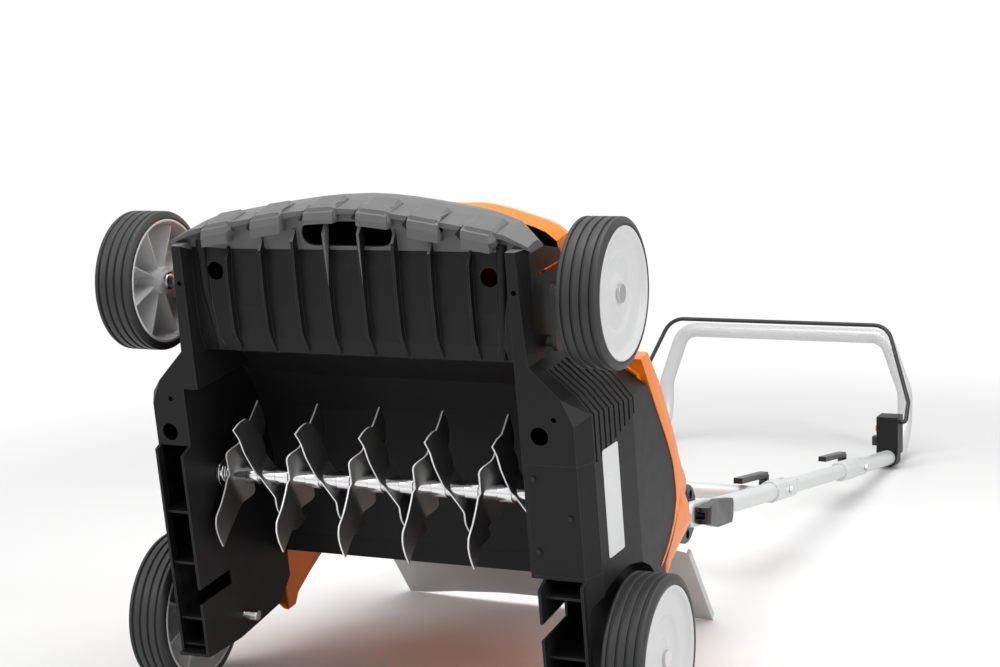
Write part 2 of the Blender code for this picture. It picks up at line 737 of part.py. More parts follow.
def make_pod(side):
    """One side of the housing: rim floor, walls, open-bottomed leg and wheel arch."""
    right = side > 0
    floor_y = BELT_COVER_Y1 if right else LEFT_FLOOR_Y
    jog_y = BELT_COVER_Y1 if right else LEFT_JOG_Y
    wall_x = LEG_IN_X if right else -CHAMBER_LEFT_X
    pod = pod_block(0.0, LEG_Z - 0.005, jog_y, wall_x)
    keep_inside(pod, prism(side_view(floor_y), 0.150, 0.300))
    solid = copy(pod)
    front = pod_block(WALL, LEG_Z - 0.020, jog_y, wall_x)
    rear = copy(front)
    keep_inside(front, box(0.150, 0.300, -0.460, floor_y - WALL, RIM_Z + WALL, 0.215))
    cut(pod, front)
    back = [(floor_y, -0.0950)] + [(y, z) for y, z in ((leg_rear(WALL)[0][0], -0.0950), *leg_rear(WALL))]
    back += [(-0.0060 - WALL, 0.2150), (floor_y, 0.2150)]
    keep_inside(rear, prism(back, 0.150, 0.300))
    cut(pod, rear)
    add_leg(pod, solid, wall_x, floor_y)
    return pod if right else mirror_x(pod)


def add_leg(pod, solid, wall_x, floor_y):
    """Wheel arch, ribs, slot and axle bore of a leg."""
    arch = rod_x(LEG_OUT_X, 0.3000, ARCH_R + WALL, 24, (0, 0))
    keep_inside(arch, solid)
    join(pod, arch)
    cut(pod, rod_x(LEG_OUT_X + WALL, 0.3100, ARCH_R, 24, (0, 0)))
    cut(pod, box(LEG_OUT_X - 0.001, 0.3000, floor_y + 0.001, 0.0600, -0.2000, LEG_WALL_Z))
    ribs = [(-0.0900, RIM_OUT_X - WALL / 2), (-0.0240, LEG_OUT_X + WALL / 2), (0.0080, LEG_OUT_X + WALL / 2)]
    if floor_y < -0.200:
        ribs.append((-0.1500, RIM_OUT_X - WALL / 2))
    for y, x1 in ribs:
        join(pod, box(wall_x + WALL / 2, x1, y, y + 0.0025, LEG_WALL_Z + 0.004, -0.0250))
    cut(pod, box(wall_x - 0.002, wall_x + WALL + 0.002, -0.0640, -0.0460, -0.1000, -0.0180))
    boss = rod_x(wall_x + WALL / 2, wall_x + 0.0120, STUB_R + 0.005, 16, (0, 0))
    join(pod, boss)
    cut(pod, rod_x(0.1500, 0.3000, STUB_R + GAP, 16, (0, 0)))


def drill_pods(body):
    """Holes in the bottom rims, the crank's and the shaft's bores, and the belt compartment."""
    holes = ((0.2080, -0.2600, ROUND_HOLE_R), (0.2250, -0.2780, SMALL_HOLE_R),
             (0.1930, -0.4070, SMALL_HOLE_R), (-0.2290, -0.2400, ROUND_HOLE_R),
             (-0.2230, -0.2780, SMALL_HOLE_R), (-0.1930, -0.4070, SMALL_HOLE_R))
    for x, y, r in holes:
        cut(body, prism(disc_outline(x, y, r, 16), RIM_Z - 0.002, RIM_Z + WALL + 0.002, "Z"))
    cut(body, rod_x(-0.250, 0.250, STUB_R + GAP, 16, (CRANK_Y, CRANK_Z)))
    shaft = (SHAFT_Y, SHAFT_Z)
    for x0, x1 in ((POD_IN_X + 0.001, POD_IN_X + 0.0120), (CHAMBER_LEFT_X - 0.0120, CHAMBER_LEFT_X - 0.001)):
        join(body, rod_x(x0, x1, BEARING_R + 0.004, 24, shaft))
    cut(body, rod_x(-0.230, 0.205, BEARING_R, 24, shaft))
    cut(body, rod_x(POD_IN_X - 0.004, POD_IN_X + 0.010, 0.0140, 20, (MOTOR_Y, MOTOR_Z)))
    reach = MOTOR_PULLEY_R + 0.0150
    cut(body, box(POD_IN_X + WALL + GAP, PULLEY_X + PULLEY_W + 0.005, MOTOR_Y - 0.005, MOTOR_Y + reach,
                  ROOF_TOP_Z + 0.004, MOTOR_Z + reach))
    opening = box(POD_IN_X + WALL, 0.300, BELT_COVER_Y0, BELT_COVER_Y1 - WALL, RIM_Z - 0.010, BEVEL_Z)
    cut(body, opening)
    for x, y in screw_places():
        boss = prism(disc_outline(x, y, SCREW_R + 0.004, 12), RIM_Z + WALL + GAP, -0.0350, "Z")
        tie_x = POD_IN_X + WALL / 2 if x < 0.22 else BEVEL_X - WALL / 2
        x0, x1 = sorted((x, tie_x))
        join(boss, box(x0, x1, y - 0.0015, y + 0.0015, BEVEL_Z + 0.0005, -0.0360))
        join(body, boss)
        cut(body, prism(disc_outline(x, y, 0.0018, 8), RIM_Z - 0.002, -0.0400, "Z"))


def screw_places():
    return ((0.1980, -0.2150), (0.2355, -0.1750), (0.1980, -0.1370))


def make_vents(body):
    """Long shallow louvres round each flare behind the front wheel."""
    for side in (1, -1):
        for k in range(VENTS):
            z = VENT_Z + VENT_PITCH * k
            end = -0.2280 - 0.0030 * k
            outer = wall_points(z, -0.0020)
            inner = wall_points(z, VENT_D)
            line = outer[3:5] + [(outer[4][0], end)]
            back = inner[3:5] + [(inner[4][0], end)]
            first = (outer[2][0] + 0.010, outer[2][1] + 0.008)
            last = (inner[2][0] + 0.010, inner[2][1] + 0.010)
            outline = [first] + line + back[::-1] + [last]
            groove = prism(outline, z, z + VENT_PITCH * 0.42, "Z")
            if side < 0:
                mirror_x(groove)
            cut(body, groove)


def make_housing():
    body = make_roof()
    join(body, make_nose())
    join(body, make_pod(1))
    join(body, make_pod(-1))
    add_grille(body)
    drill_pods(body)
    make_vents(body)
    return node("lower_housing", body, "black_plastic")


def make_belt_cover():
    y0 = BELT_COVER_Y0 + GAP
    y1 = BELT_COVER_Y1 - WALL - GAP
    x0 = POD_IN_X + WALL + GAP
    top = BEVEL_Z - GAP
    section = [(x0, RIM_Z), (RIM_OUT_X, RIM_Z), (BEVEL_X, top), (BEVEL_X - WALL, top),
               (RIM_OUT_X - 0.0010, RIM_Z + WALL), (x0, RIM_Z + WALL)]
    cover = prism(section, y0, y1, "Y")
    for y in (y0, y1 - WALL):
        cheek = prism([(x0, RIM_Z), (RIM_OUT_X, RIM_Z), (BEVEL_X, top), (x0, top)], y, y + WALL, "Y")
        join(cover, cheek)
    for x, y in screw_places():
        cut(cover, prism(disc_outline(x, y, 0.0018 + GAP, 8), RIM_Z - 0.002, RIM_Z + WALL + 0.001, "Z"))
    node("belt_cover", cover, "black_plastic")
    for k, (x, y) in enumerate(screw_places()):
        screw = prism(disc_outline(x, y, SCREW_R, 12), RIM_Z - GAP - 0.0018, RIM_Z - GAP, "Z")
        join(screw, prism(disc_outline(x, y, 0.0018 - GAP, 8), RIM_Z - GAP - 0.001, -0.0420, "Z"))
        node(f"cover_screw_{k + 1}", screw, "blade_steel", (x, y, RIM_Z))


# Cover
TOP_LINE = ((0.0000, 0.0480), (0.0000, 0.0720), (0.0230, 0.1020), (0.0550, 0.1260), (0.1250, 0.1690),
            (0.2050, 0.2160), (0.2850, 0.2640), (0.3550, 0.3060), (0.4050, 0.3250), (0.4390, 0.3210),
            (0.4500, 0.2750), (0.4620, 0.2150), (0.4730, 0.1800), (0.4880, 0.1390), (0.5000, 0.1280))
STATIONS = ((0.0000, 0.0000, 0.0000), (0.1200, 0.0040, 0.0000), (0.1900, 0.0150, 0.0010),
            (0.2200, 0.0320, 0.0060), (0.2400, 0.0640, 0.0250), (0.2530, 0.0960, 0.0430),
            (0.2620, 0.1220, 0.0560), (0.2670, 0.1500, 0.0640))
PULL_SHARE = (0, 0, 0, 0, 0, 0.10, 0.25, 0.45, 0.72, 1.0, 1.0, 1.0, 1.0, 1.0, 1.0)
DROP_SHARE = (0.10, 0.20, 0.45, 0.70, 0.90, 1.0, 1.0, 1.0, 0.95, 0.90, 0.80, 0.60, 0.45, 0.25, 0.20)


def cover_section(x, drop, pull, inset):
    """Side outline of the cover at a distance x from the middle."""
    points = []
    for k, (dy, z) in enumerate(TOP_LINE):
        y = COVER_FRONT_Y + dy - pull * PULL_SHARE[k]
        if k < 4:
            y += 0.4 * max(0.0, x - 0.190)
        if k < 3:
            y += inset
        if k > 8:
            y -= inset
        lift = inset if 1 < k < 10 else 0.0
        points.append((y, z - drop * DROP_SHARE[k] - lift))
    first = points[0][0]
    last = points[-1][0]
    return [(first, -0.1000)] + points + [(last, -0.1000)]


def cover_block(inset):
    rows = [(-x, drop, pull) for x, drop, pull in STATIONS[:0:-1]] + list(STATIONS)
    rings = []
    for x, drop, pull in rows:
        shift = math.copysign(inset, x) if abs(x) > 0.200 else 0.0
        rings.append([(x - shift, y, z) for y, z in cover_section(abs(x), drop, pull, inset)])
    return rings_solid(rings)


def above_parting(gap):
    line = [(-0.5200, PARTING[0][1] + gap), (PARTING[0][0], PARTING[0][1] + gap)]
    line += [(y, z + gap) for y, z in PARTING[1:]]
    line += [(0.0800, 0.1040 + gap), (0.0800, 0.4000), (-0.5200, 0.4000)]
    return prism(line, -0.300, 0.300)


def wheel_room(grow):
    """Space beside the narrow front part, where the front wheels and the crank arms are."""
    g = grow
    plan = [(0.2095 - g, -0.6000), (0.2095 - g, FLARE_Y + 0.4 * g), (0.2545 - 0.7 * g, -0.2920 + g),
            (0.2700, -0.2740 + g), (0.4000, -0.2740 + g), (0.4000, -0.6000)]
    return prism(plan, -0.1200, 0.4000, "Z")


def make_cover():
    cover = cover_block(0.0)
    hollow = cover_block(COVER_T)
    for side in (1, -1):
        for block, grow in ((cover, 0.0), (hollow, COVER_T)):
            room = wheel_room(grow)
            if side < 0:
                mirror_x(room)
            cut(block, room)
    cut(cover, hollow)
    keep_inside(cover, above_parting(GAP))
    cut(cover, nose_rows(NOSE_END_X + GAP, NOSE_ROWS, lambda x: nose_outer(x, GAP)))
    cut(cover, box(-MOUTH_X, MOUTH_X, MOUTH_Y, 0.1000, 0.0500, 0.4000))
    rear = offset_line([(MOUTH_Y, 0.3160), (MOUTH_Y, 0.1900), (ROOF_REAR_Y + 0.002, 0.1060)], -COVER_T)
    wall = prism(rear, -MOUTH_X - 0.001, MOUTH_X + 0.001)
    join(cover, wall)
    for side in (1, -1):
        x0, x1 = sorted((side * MOUTH_X, side * (MOUTH_X + COVER_T)))
        cheek = box(x0, x1, ROOF_REAR_Y, 0.0600, 0.1065, 0.3300)
        keep_inside(cheek, cover_block(COVER_T / 2))
        join(cover, cheek)
        lobe_x = sorted((side * 0.2080, side * 0.2240))
        front = NOSE_REAR_Y + GAP
        lobe = ((front, -0.0180), (-0.4200, 0.0300), (-0.4200, 0.0700), (front, 0.0600))
        join(cover, prism(lobe, *lobe_x))
    return cover


def bracket_outline(grow):
    g = grow
    disc = [(PIVOT_Y + (ROSETTE_R + g) * math.cos(a), PIVOT_Z + (ROSETTE_R + g) * math.sin(a))
            for a in [math.radians(-70 + 250 * k / 14) for k in range(15)]]
    foot = [(-0.0900 - g, 0.2600 - g), (-0.0280 + g, 0.2450 - g)]
    return disc + foot


def make_cover_node():
    cover = make_cover()
    for side in (1, -1):
        x0, x1 = bracket_x()
        pocket = prism(bracket_outline(GAP), x0 - GAP, x1 + GAP)
        if side < 0:
            mirror_x(pocket)
        cut(cover, pocket)
    cut(cover, rod_x(-FLAP_NECK_X - 0.004, FLAP_NECK_X + 0.004, HINGE_R + 0.0015, 16, (FLAP_Y, FLAP_Z)))
    node("top_cover", cover, "orange_plastic")


def bracket_x():
    x1 = LEG_X - FLAT_T / 2 - GAP
    return x1 - BRACKET_T, x1


def make_brackets():
    """Black pivot plates with the clamp stud, through the cover's rear shoulders."""
    x0, x1 = bracket_x()
    for side in (1, -1):
        plate = prism(bracket_outline(0.0), x0, x1)
        for k in range(8):
            a = 2 * math.pi * k / 8
            y = PIVOT_Y + 0.0260 * math.cos(a)
            z = PIVOT_Z + 0.0260 * math.sin(a)
            cut(plate, prism(disc_outline(y, z, 0.0060, 6), x1 - 0.0060, x1 + 0.002))
        stud_end = LEG_X + FLAT_T / 2 + PIVOT_CAM_R + STUD_R / 2
        join(plate, rod_x(x1 - 0.002, stud_end, STUD_R, 12, (PIVOT_Y, PIVOT_Z)))
        cut(plate, rod_x(x0 - 0.002, x1 - 0.006, PIN_R + GAP, 12, (FLAP_Y, FLAP_Z)))
        if side < 0:
            mirror_x(plate)
        node(f"pivot_bracket_{side_name(side)}", plate, "black_plastic", (side * x0, PIVOT_Y, PIVOT_Z))


# Drive
def make_blade_shaft():
    left = CHAMBER_LEFT_X - 0.0110
    right = PULLEY_X + PULLEY_W
    collar = BEARING_R + 0.001
    profile = [(left, SHAFT_R), (CHAMBER_LEFT_X + 0.0010, SHAFT_R), (CHAMBER_LEFT_X + 0.0010, collar),
               (CHAMBER_LEFT_X + 0.0035, collar), (CHAMBER_LEFT_X + 0.0035, SHAFT_R)]
    for k in range(BLADES - 1):
        x = BLADE_FIRST_X + BLADE_PITCH * k
        x0 = x + BLADE_OFFSET + 0.0015
        x1 = x + BLADE_PITCH - BLADE_OFFSET - 0.0015
        profile += [(x0, SHAFT_R), (x0, SLEEVE_R), (x1, SLEEVE_R), (x1, SHAFT_R)]
    profile.append((right, SHAFT_R))
    shaft = turned(profile, 12, (SHAFT_Y, SHAFT_Z), False)
    join(shaft, turned(pulley_profile(ROTOR_PULLEY_R), 20, (SHAFT_Y, SHAFT_Z), False))
    node("blade_shaft", shaft, "steel", (0, SHAFT_Y, SHAFT_Z))


def pulley_profile(r):
    rim = r + 0.0020
    x0 = PULLEY_X
    x1 = PULLEY_X + PULLEY_W
    land = (PULLEY_W - BELT_W) / 2 - 0.0005
    return [(x0, rim), (x0 + land, rim), (x0 + land, r), (x1 - land, r), (x1 - land, rim), (x1, rim)]


def make_blade(k):
    """Double-armed blade: a strip whose arms are set off to both sides by a bend at the shaft."""
    half = NEXT_ARM if k % 2 else FIRST_ARM
    outline = list(half) + [(-u, -v) for u, v in half]
    blade = prism(outline, -BLADE_T / 2, BLADE_T / 2)
    cut(blade, rod_x(-0.01, 0.01, SHAFT_R + GAP, 12, (0, 0)))
    bm = bmesh.new()
    bm.from_mesh(blade.data)
    for u in (BLADE_CREASE, -BLADE_CREASE):
        bmesh.ops.bisect_plane(bm, geom=list(bm.verts) + list(bm.edges) + list(bm.faces), dist=1e-6,
                               plane_co=(0, u, 0), plane_no=(0, 1, 0))
    for vert in bm.verts:
        lean = max(-1.0, min(1.0, vert.co.y / BLADE_CREASE))
        vert.co.x -= BLADE_OFFSET * lean
    bm.to_mesh(blade.data)
    bm.free()
    angle = NEXT_ARM_ANGLE if k % 2 else FIRST_ARM_ANGLE
    spin = Matrix.Rotation(angle, 4, "X")
    blade.data.transform(spin)
    x = BLADE_FIRST_X + BLADE_PITCH * k
    blade.data.transform(Matrix.Translation((x, SHAFT_Y, SHAFT_Z)))
    node(f"double_blade_{k + 1:02d}", blade, "blade_steel", (x, SHAFT_Y, SHAFT_Z))


def make_bearings():
    for name, x0 in (("right", POD_IN_X + GAP), ("left", CHAMBER_LEFT_X - 0.0110)):
        ring = turned(((x0, SHAFT_R + GAP), (x0 + 0.0110, SHAFT_R + GAP), (x0 + 0.0110, BEARING_R - GAP),
                       (x0, BEARING_R - GAP)), 24, (SHAFT_Y, SHAFT_Z))
        node(f"shaft_bearing_{name}", ring, "steel", (x0, SHAFT_Y, SHAFT_Z))


def make_motor():
    end = POD_IN_X - GAP
    start = end - MOTOR_LEN
    centre = (MOTOR_Y, MOTOR_Z)
    motor = turned(((start, MOTOR_R - 0.012), (start + 0.006, MOTOR_R), (end - 0.012, MOTOR_R),
                    (end - 0.008, MOTOR_R - 0.006), (end, MOTOR_R - 0.006)), 20, centre, False)
    for x in MOTOR_FEET_X:
        foot = box(x - 0.012, x + 0.012, MOTOR_Y - 0.028, MOTOR_Y + 0.028,
                   ROOF_TOP_Z + 0.008 + GAP, MOTOR_Z - MOTOR_R * 0.70)
        join(motor, foot)
    cut(motor, rod_x(start + MOTOR_END, end - MOTOR_END, MOTOR_R - MOTOR_WALL, 20, centre))
    cut(motor, rod_x(start + 0.006, end + 0.010, MOTOR_SHAFT_R + GAP, 12, centre))
    node("motor_casing", motor, "motor_paint", (0, *centre))
    middle = (start + end) / 2
    shaft = rod_x(start + 0.007, PULLEY_X + PULLEY_W + 0.002, MOTOR_SHAFT_R, 12, centre)
    join(shaft, rod_x(middle - ROTOR_LEN / 2, middle + ROTOR_LEN / 2, ROTOR_R, 16, centre))
    join(shaft, turned(pulley_profile(MOTOR_PULLEY_R), 20, centre, False))
    node("motor_shaft_pulley", shaft, "steel", (0, *centre))


def make_belt():
    c1 = (MOTOR_Y, MOTOR_Z)
    c2 = (SHAFT_Y, SHAFT_Z)
    mid = PULLEY_X + PULLEY_W / 2
    near = SEAT
    belt = prism(hull_two(c1, MOTOR_PULLEY_R + near + BELT_T, c2, ROTOR_PULLEY_R + near + BELT_T, 14),
                 mid - BELT_W / 2, mid + BELT_W / 2)
    cut(belt, prism(hull_two(c1, MOTOR_PULLEY_R + near, c2, ROTOR_PULLEY_R + near, 14),
                    mid - BELT_W, mid + BELT_W))
    node("drive_belt", belt, "rubber", (mid, *c1))


# Handle
def leg_point(x, s, v=0.0):
    """Machine point beside the leg: x across, s along from the pivot, v towards the front."""
    return Vector((x, 0, 0)) + PIVOT + LEG_DIR * s + LEG_UP * v


def leg_box(x0, x1, s0, s1, v0, v1):
    rings = []
    for s in (s0, s1):
        rings.append([leg_point(x, s, v) for x, v in ((x0, v0), (x1, v0), (x1, v1), (x0, v1))])
    return rings_solid(rings)


def leg_prism(outline, x0, x1):
    """Extrude an (s, v) outline along X."""
    return rings_solid([[leg_point(x, s, v) for s, v in outline] for x in (x0, x1)])


def bolt_hole(s, r, x0, x1, v=0.0):
    return leg_prism(disc_outline(s, v, r, 12), x0, x1)


def leg_ring(x, s, rx, rv):
    return circle_ring(leg_point(x, s), Vector((1, 0, 0)), LEG_UP, rx, rv, TUBE_SIDES)


def make_lower_bar():
    """Both legs with flattened lower ends, and the cross tube between them."""
    end = FOLD_1 - 0.0180
    legs = []
    for side in (1, -1):
        x = side * LEG_X
        rings = [leg_ring(x, FLAT_LEN + 0.030, LOWER_R, LOWER_R), leg_ring(x, end, LOWER_R, LOWER_R),
                 leg_ring(x, end, LOWER_R - TUBE_WALL, LOWER_R - TUBE_WALL),
                 leg_ring(x, FLAT_LEN + 0.040, LOWER_R - TUBE_WALL, LOWER_R - TUBE_WALL)]
        leg = rings_solid(rings)
        flat = leg_prism(hull_two((0.0, 0.0), FLAT_W / 2, (FLAT_LEN, 0.0), FLAT_W / 2 - 0.0005, 8),
                         x - FLAT_T / 2, x + FLAT_T / 2)
        join(leg, flat)
        blend = rings_solid([leg_ring(x, FLAT_LEN - 0.004, FLAT_T / 2 + 0.0005, FLAT_W / 2 - 0.001),
                             leg_ring(x, FLAT_LEN + 0.032, LOWER_R - 0.0005, LOWER_R - 0.0005)])
        join(leg, blend)
        cut(leg, bolt_hole(0.0, STUD_R + GAP, x - 0.020, x + 0.020))
        cut(leg, fold_bolt_room(x, FOLD_1))
        legs.append(leg)
    bar = legs[0]
    reach = LEG_X - LOWER_R + TUBE_WALL / 2
    cross = tube([leg_point(-reach, CROSS_S), leg_point(reach, CROSS_S)], CROSS_R, 0, TUBE_SIDES)
    join(bar, cross)
    join(bar, legs[1])
    bore = tube([leg_point(-LEG_X, CROSS_S), leg_point(LEG_X, CROSS_S)], CROSS_R - TUBE_WALL, 0, TUBE_SIDES)
    cut(bar, bore)
    node("lower_handle_bar", bar, "tube_paint", PIVOT)


def fold_bolt_room(x, s):
    return bolt_hole(s, FOLD_BOLT_R + GAP, x - 0.030, x + 0.030)


def make_fold_sleeve(side, number):
    """Clamp sleeve at a fold: a socket for the tube below and a fork for the tongue above."""
    s, back, front, r_in = ((FOLD_1, FOLD_1_BACK, FOLD_1_FRONT, LOWER_R) if number == 1
                            else (FOLD_2, FOLD_2_BACK, FOLD_2_FRONT, MIDDLE_R))
    x = side * LEG_X
    sleeve = rings_solid([leg_ring(x, s - back, FOLD_R - 0.001, FOLD_R - 0.001),
                          leg_ring(x, s - back + 0.002, FOLD_R, FOLD_R),
                          leg_ring(x, s + front, FOLD_R, FOLD_R)])
    cut(sleeve, rings_solid([leg_ring(x, s - back - 0.010, r_in + GAP, r_in + GAP),
                             leg_ring(x, s - 0.0180 + GAP, r_in + GAP, r_in + GAP)]))
    fork = TONGUE_T / 2 + GAP
    cut(sleeve, leg_box(x - fork, x + fork, s - 0.0165, s + front + 0.01, -0.03, 0.03))
    cut(sleeve, fold_bolt_room(x, s))
    node(f"fold_sleeve_{number}_{side_name(side)}", sleeve, "tube_paint", leg_point(x, s))


def tongue(side, s, front):
    x = side * LEG_X
    plate = leg_prism(hull_two((s, 0.0), 0.0110, (s + front + 0.0160, 0.0), 0.0105, 8),
                      x - TONGUE_T / 2, x + TONGUE_T / 2)
    return plate


def make_middle_tubes():
    for side in (1, -1):
        x = side * LEG_X
        start = FOLD_1 + FOLD_1_FRONT + 0.0040
        end = FOLD_2 - 0.0180
        piece = rings_solid([leg_ring(x, start, MIDDLE_R, MIDDLE_R), leg_ring(x, end, MIDDLE_R, MIDDLE_R),
                             leg_ring(x, end, MIDDLE_R - TUBE_WALL, MIDDLE_R - TUBE_WALL),
                             leg_ring(x, start + 0.020, MIDDLE_R - TUBE_WALL, MIDDLE_R - TUBE_WALL)])
        join(piece, tongue(side, FOLD_1, FOLD_1_FRONT))
        cut(piece, fold_bolt_room(x, FOLD_1))
        node(f"middle_tube_{side_name(side)}", piece, "tube_paint", leg_point(x, FOLD_1))


def loop_path():
    """Upper loop's centreline, from one upper fold round to the other."""
    start_s = FOLD_2 + FOLD_2_FRONT + 0.0040
    begin = leg_point(LEG_X, start_s)
    yb, zb = tipped(begin.y, begin.z)
    ye, ze = tipped(leg_point(LEG_X, 1.0).y, leg_point(LEG_X, 1.0).z)
    grade = (ze - zb) / (ye - yb)
    corner_z = zb + grade * (LOOP_Y - yb)
    half = [(LEG_X, yb, zb), (LEG_X, LOOP_Y, corner_z), (LEG_X, LOOP_Y, LOOP_KINK_Z),
            (LOOP_GRIP_X, LOOP_Y, LOOP_GRIP_Z)]
    other = [(-x, y, z) for x, y, z in half[::-1]]
    corners = []
    for x, y, z in half + other:
        my, mz = machine(y, z)
        corners.append(Vector((x, my, mz)))
    radii = [0, LOOP_BEND_R, 0.060, 0.034, 0.034, 0.060, LOOP_BEND_R, 0]
    return fillet_path(corners, radii, math.radians(30))


def make_loop():
    loop = tube(loop_path(), LOOP_R, TUBE_WALL, TUBE_SIDES)
    for side in (1, -1):
        join(loop, tongue(side, FOLD_2, FOLD_2_FRONT))
        cut(loop, fold_bolt_room(side * LEG_X, FOLD_2))
    node("upper_handle_loop", loop, "tube_paint", leg_point(0, FOLD_2))


def make_fold_bolts():
    for number, s in ((1, FOLD_1), (2, FOLD_2)):
        for side in (1, -1):
            x = side * LEG_X
            outer = x + side * (FOLD_R + GAP)
            inner = x - side * (FOLD_R + 0.0060)
            a, b = sorted((inner, outer + side * 0.001))
            bolt = leg_prism(disc_outline(s, 0.0, FOLD_BOLT_R, 10), a, b)
            a, b = sorted((outer, outer + side * 0.0030))
            join(bolt, leg_prism(disc_outline(s, 0.0, 0.0060, 6), a, b))
            node(f"fold_bolt_{number}_{side_name(side)}", bolt, "steel", leg_point(x, s))


def cam_pin_x(side):
    return side * (LEG_X - FOLD_R - GAP - CAM_R)


def leg_cylinder(x, s, r, v0, v1, sides):
    """Round bar square to the leg and to the machine's width."""
    ends = [leg_point(x, s, v) for v in (v0, v1)]
    return rings_solid([circle_ring(p, Vector((1, 0, 0)), LEG_DIR, r, r, sides) for p in ends])


def cam_slot(cam, pin, side, s, bolt_r, out, way):
    """Slot that lets a cam turn about its pin without leaving its bolt."""
    r = bolt_r + GAP
    x0, x1 = sorted((pin - out * side * r, pin + out * side * 0.0300))
    s0, s1 = sorted((s - way * r, s + way * 0.0300))
    cut(cam, leg_box(x0, x1, s0, s1, -r, r))
    cut(cam, leg_cylinder(pin, s, bolt_r * 1.5 + GAP, -r, r, 12))


def make_fold_levers():
    """Quick-release levers on the inner side, lying along the tube towards the pivot."""
    for number, s in ((1, FOLD_1), (2, FOLD_2)):
        for side in (1, -1):
            pin = cam_pin_x(side)
            lever = leg_cylinder(pin, s, CAM_R, -0.0075, LEVER_V + LEVER_T / 2, 16)
            arm = leg_box(pin - LEVER_W / 2, pin + LEVER_W / 2, s - LEVER_LEN, s, LEVER_V, LEVER_V + LEVER_T)
            join(lever, arm)
            cam_slot(lever, pin, side, s, FOLD_BOLT_R, 1, 1)
            node(f"fold_lever_{number}_{side_name(side)}", lever, "black_plastic", leg_point(pin, s))


def make_pivot_levers():
    """Clamp levers on the outer side of the pivots."""
    for side in (1, -1):
        pin = side * (LEG_X + FLAT_T / 2 + GAP + PIVOT_CAM_R)
        lever = leg_cylinder(pin, 0.0, PIVOT_CAM_R, -PIVOT_CAM_R, PIVOT_CAM_R, 20)
        x0 = LEG_X + LOWER_R + 0.0010
        outline = [(-0.0080, -0.0090), (0.0350, -0.0170), (0.0900, -0.0160), (0.0940, -0.0090),
                   (0.0940, 0.0080), (0.0900, 0.0140), (0.0350, 0.0170), (-0.0080, 0.0090)]
        a, b = sorted((side * x0, side * (x0 + PIVOT_LEVER_T)))
        join(lever, leg_prism(outline, a, b))
        cam_slot(lever, pin, side, 0.0, STUD_R, -1, -1)
        node(f"pivot_lever_{side_name(side)}", lever, "black_plastic", (pin, PIVOT_Y, PIVOT_Z))


def tipped_box(x0, x1, y0, y1, z0, z1):
    """A box square to the floor in the tipped stance."""
    rings = []
    for x in (x0, x1):
        rings.append([(x, *machine(y, z)) for y, z in ((y0, z0), (y1, z0), (y1, z1), (y0, z1))])
    return rings_solid(rings)


def make_clamp_ring(x):
    start = RING_S - RING_LEN / 2
    end = RING_S + RING_LEN / 2
    return rings_solid([leg_ring(x, start, RING_R, RING_R), leg_ring(x, end, RING_R, RING_R)])


def make_switch_parts():
    y, z = tipped(RING_Y, RING_Z)
    for side in (1, -1):
        x = side * LEG_X
        holder = make_clamp_ring(x)
        if side > 0:
            case = tipped_box(x - 0.0190, x + 0.0170, y - 0.0140, y + 0.0230, z + 0.0060, z + 0.0700)
        else:
            case = tipped_box(x - 0.0100, x + 0.0100, y - 0.0100, y + 0.0120, z + 0.0060, z + 0.0700)
        join(holder, case)
        lug = bail_pivot()
        lug_x = sorted((x + side * 0.0050, x + side * 0.0110))
        join(holder, prism(disc_outline(lug[0], lug[1], 0.0085, 12), *lug_x))
        clear = tube(loop_path(), LOOP_R + GAP, 0, TUBE_SIDES)
        cut(holder, clear)
        bore_x = sorted((x + side * 0.0010, x + side * 0.0500))
        cut(holder, prism(disc_outline(lug[0], lug[1], BAIL_R + GAP, 12), *bore_x))
        name = "switch_box" if side > 0 else "bail_bracket"
        if side > 0:
            room = tipped_box(x - 0.0250, x - 0.0110 + BUTTON_TRAVEL + GAP, y - 0.0050, y + 0.0050,
                              z + 0.0440, z + 0.0540)
            cut(holder, room)
            socket = tipped_box(x - 0.0250, x - 0.0140, y + 0.0000, y + 0.0160, z + 0.0180, z + 0.0340)
            cut(holder, socket)
        node(name, holder, "black_plastic", (x, RING_Y, RING_Z))


def bail_pivot():
    y, z = tipped(RING_Y, RING_Z)
    return machine(y + 0.0040, z + 0.0600)


def make_bail():
    """Wire bail over the grip, hinged at the switch box and the left bracket."""
    py, pz = bail_pivot()
    y, z = tipped(py, pz)
    side_x = LEG_X + BAIL_OUT
    top_z = LOOP_GRIP_Z + BAIL_RISE
    half = [(LEG_X + 0.0030, y, z), (side_x, y, z), (side_x, y + 0.0200, z + 0.0300),
            (LOOP_GRIP_X + 0.0120, LOOP_Y - 0.0340, top_z)]
    other = [(-x, yy, zz) for x, yy, zz in half[::-1]]
    corners = [Vector((x, *machine(yy, zz))) for x, yy, zz in half + other]
    radii = [0, 0.006, 0.020, 0.034, 0.034, 0.020, 0.006, 0]
    bail = tube(fillet_path(corners, radii, math.radians(30)), BAIL_R, 0, 8)
    node("bail", bail, "black_plastic", (0, py, pz))


def make_switch_small():
    y, z = tipped(RING_Y, RING_Z)
    x = LEG_X
    button = tipped_box(x - 0.0230, x - 0.0110, y - 0.0050 + GAP, y + 0.0050 - GAP,
                        z + 0.0440 + GAP, z + 0.0540 - GAP)
    cy, cz = machine(y, z + 0.0490)
    node("lock_button", button, "orange_plastic", (x - 0.0230, cy, cz))
    inlet = tipped_box(x - 0.0300, x - 0.0140 - GAP, y + GAP, y + 0.0160 - GAP,
                       z + 0.0180 + GAP, z + 0.0340 - GAP)
    well = tipped_box(x - 0.0320, x - 0.0180, y + 0.0030, y + 0.0130, z + 0.0210, z + 0.0310)
    cut(inlet, well)
    cy, cz = machine(y + 0.0080, z + 0.0260)
    node("power_inlet", inlet, "black_plastic", (x - 0.0200, cy, cz))


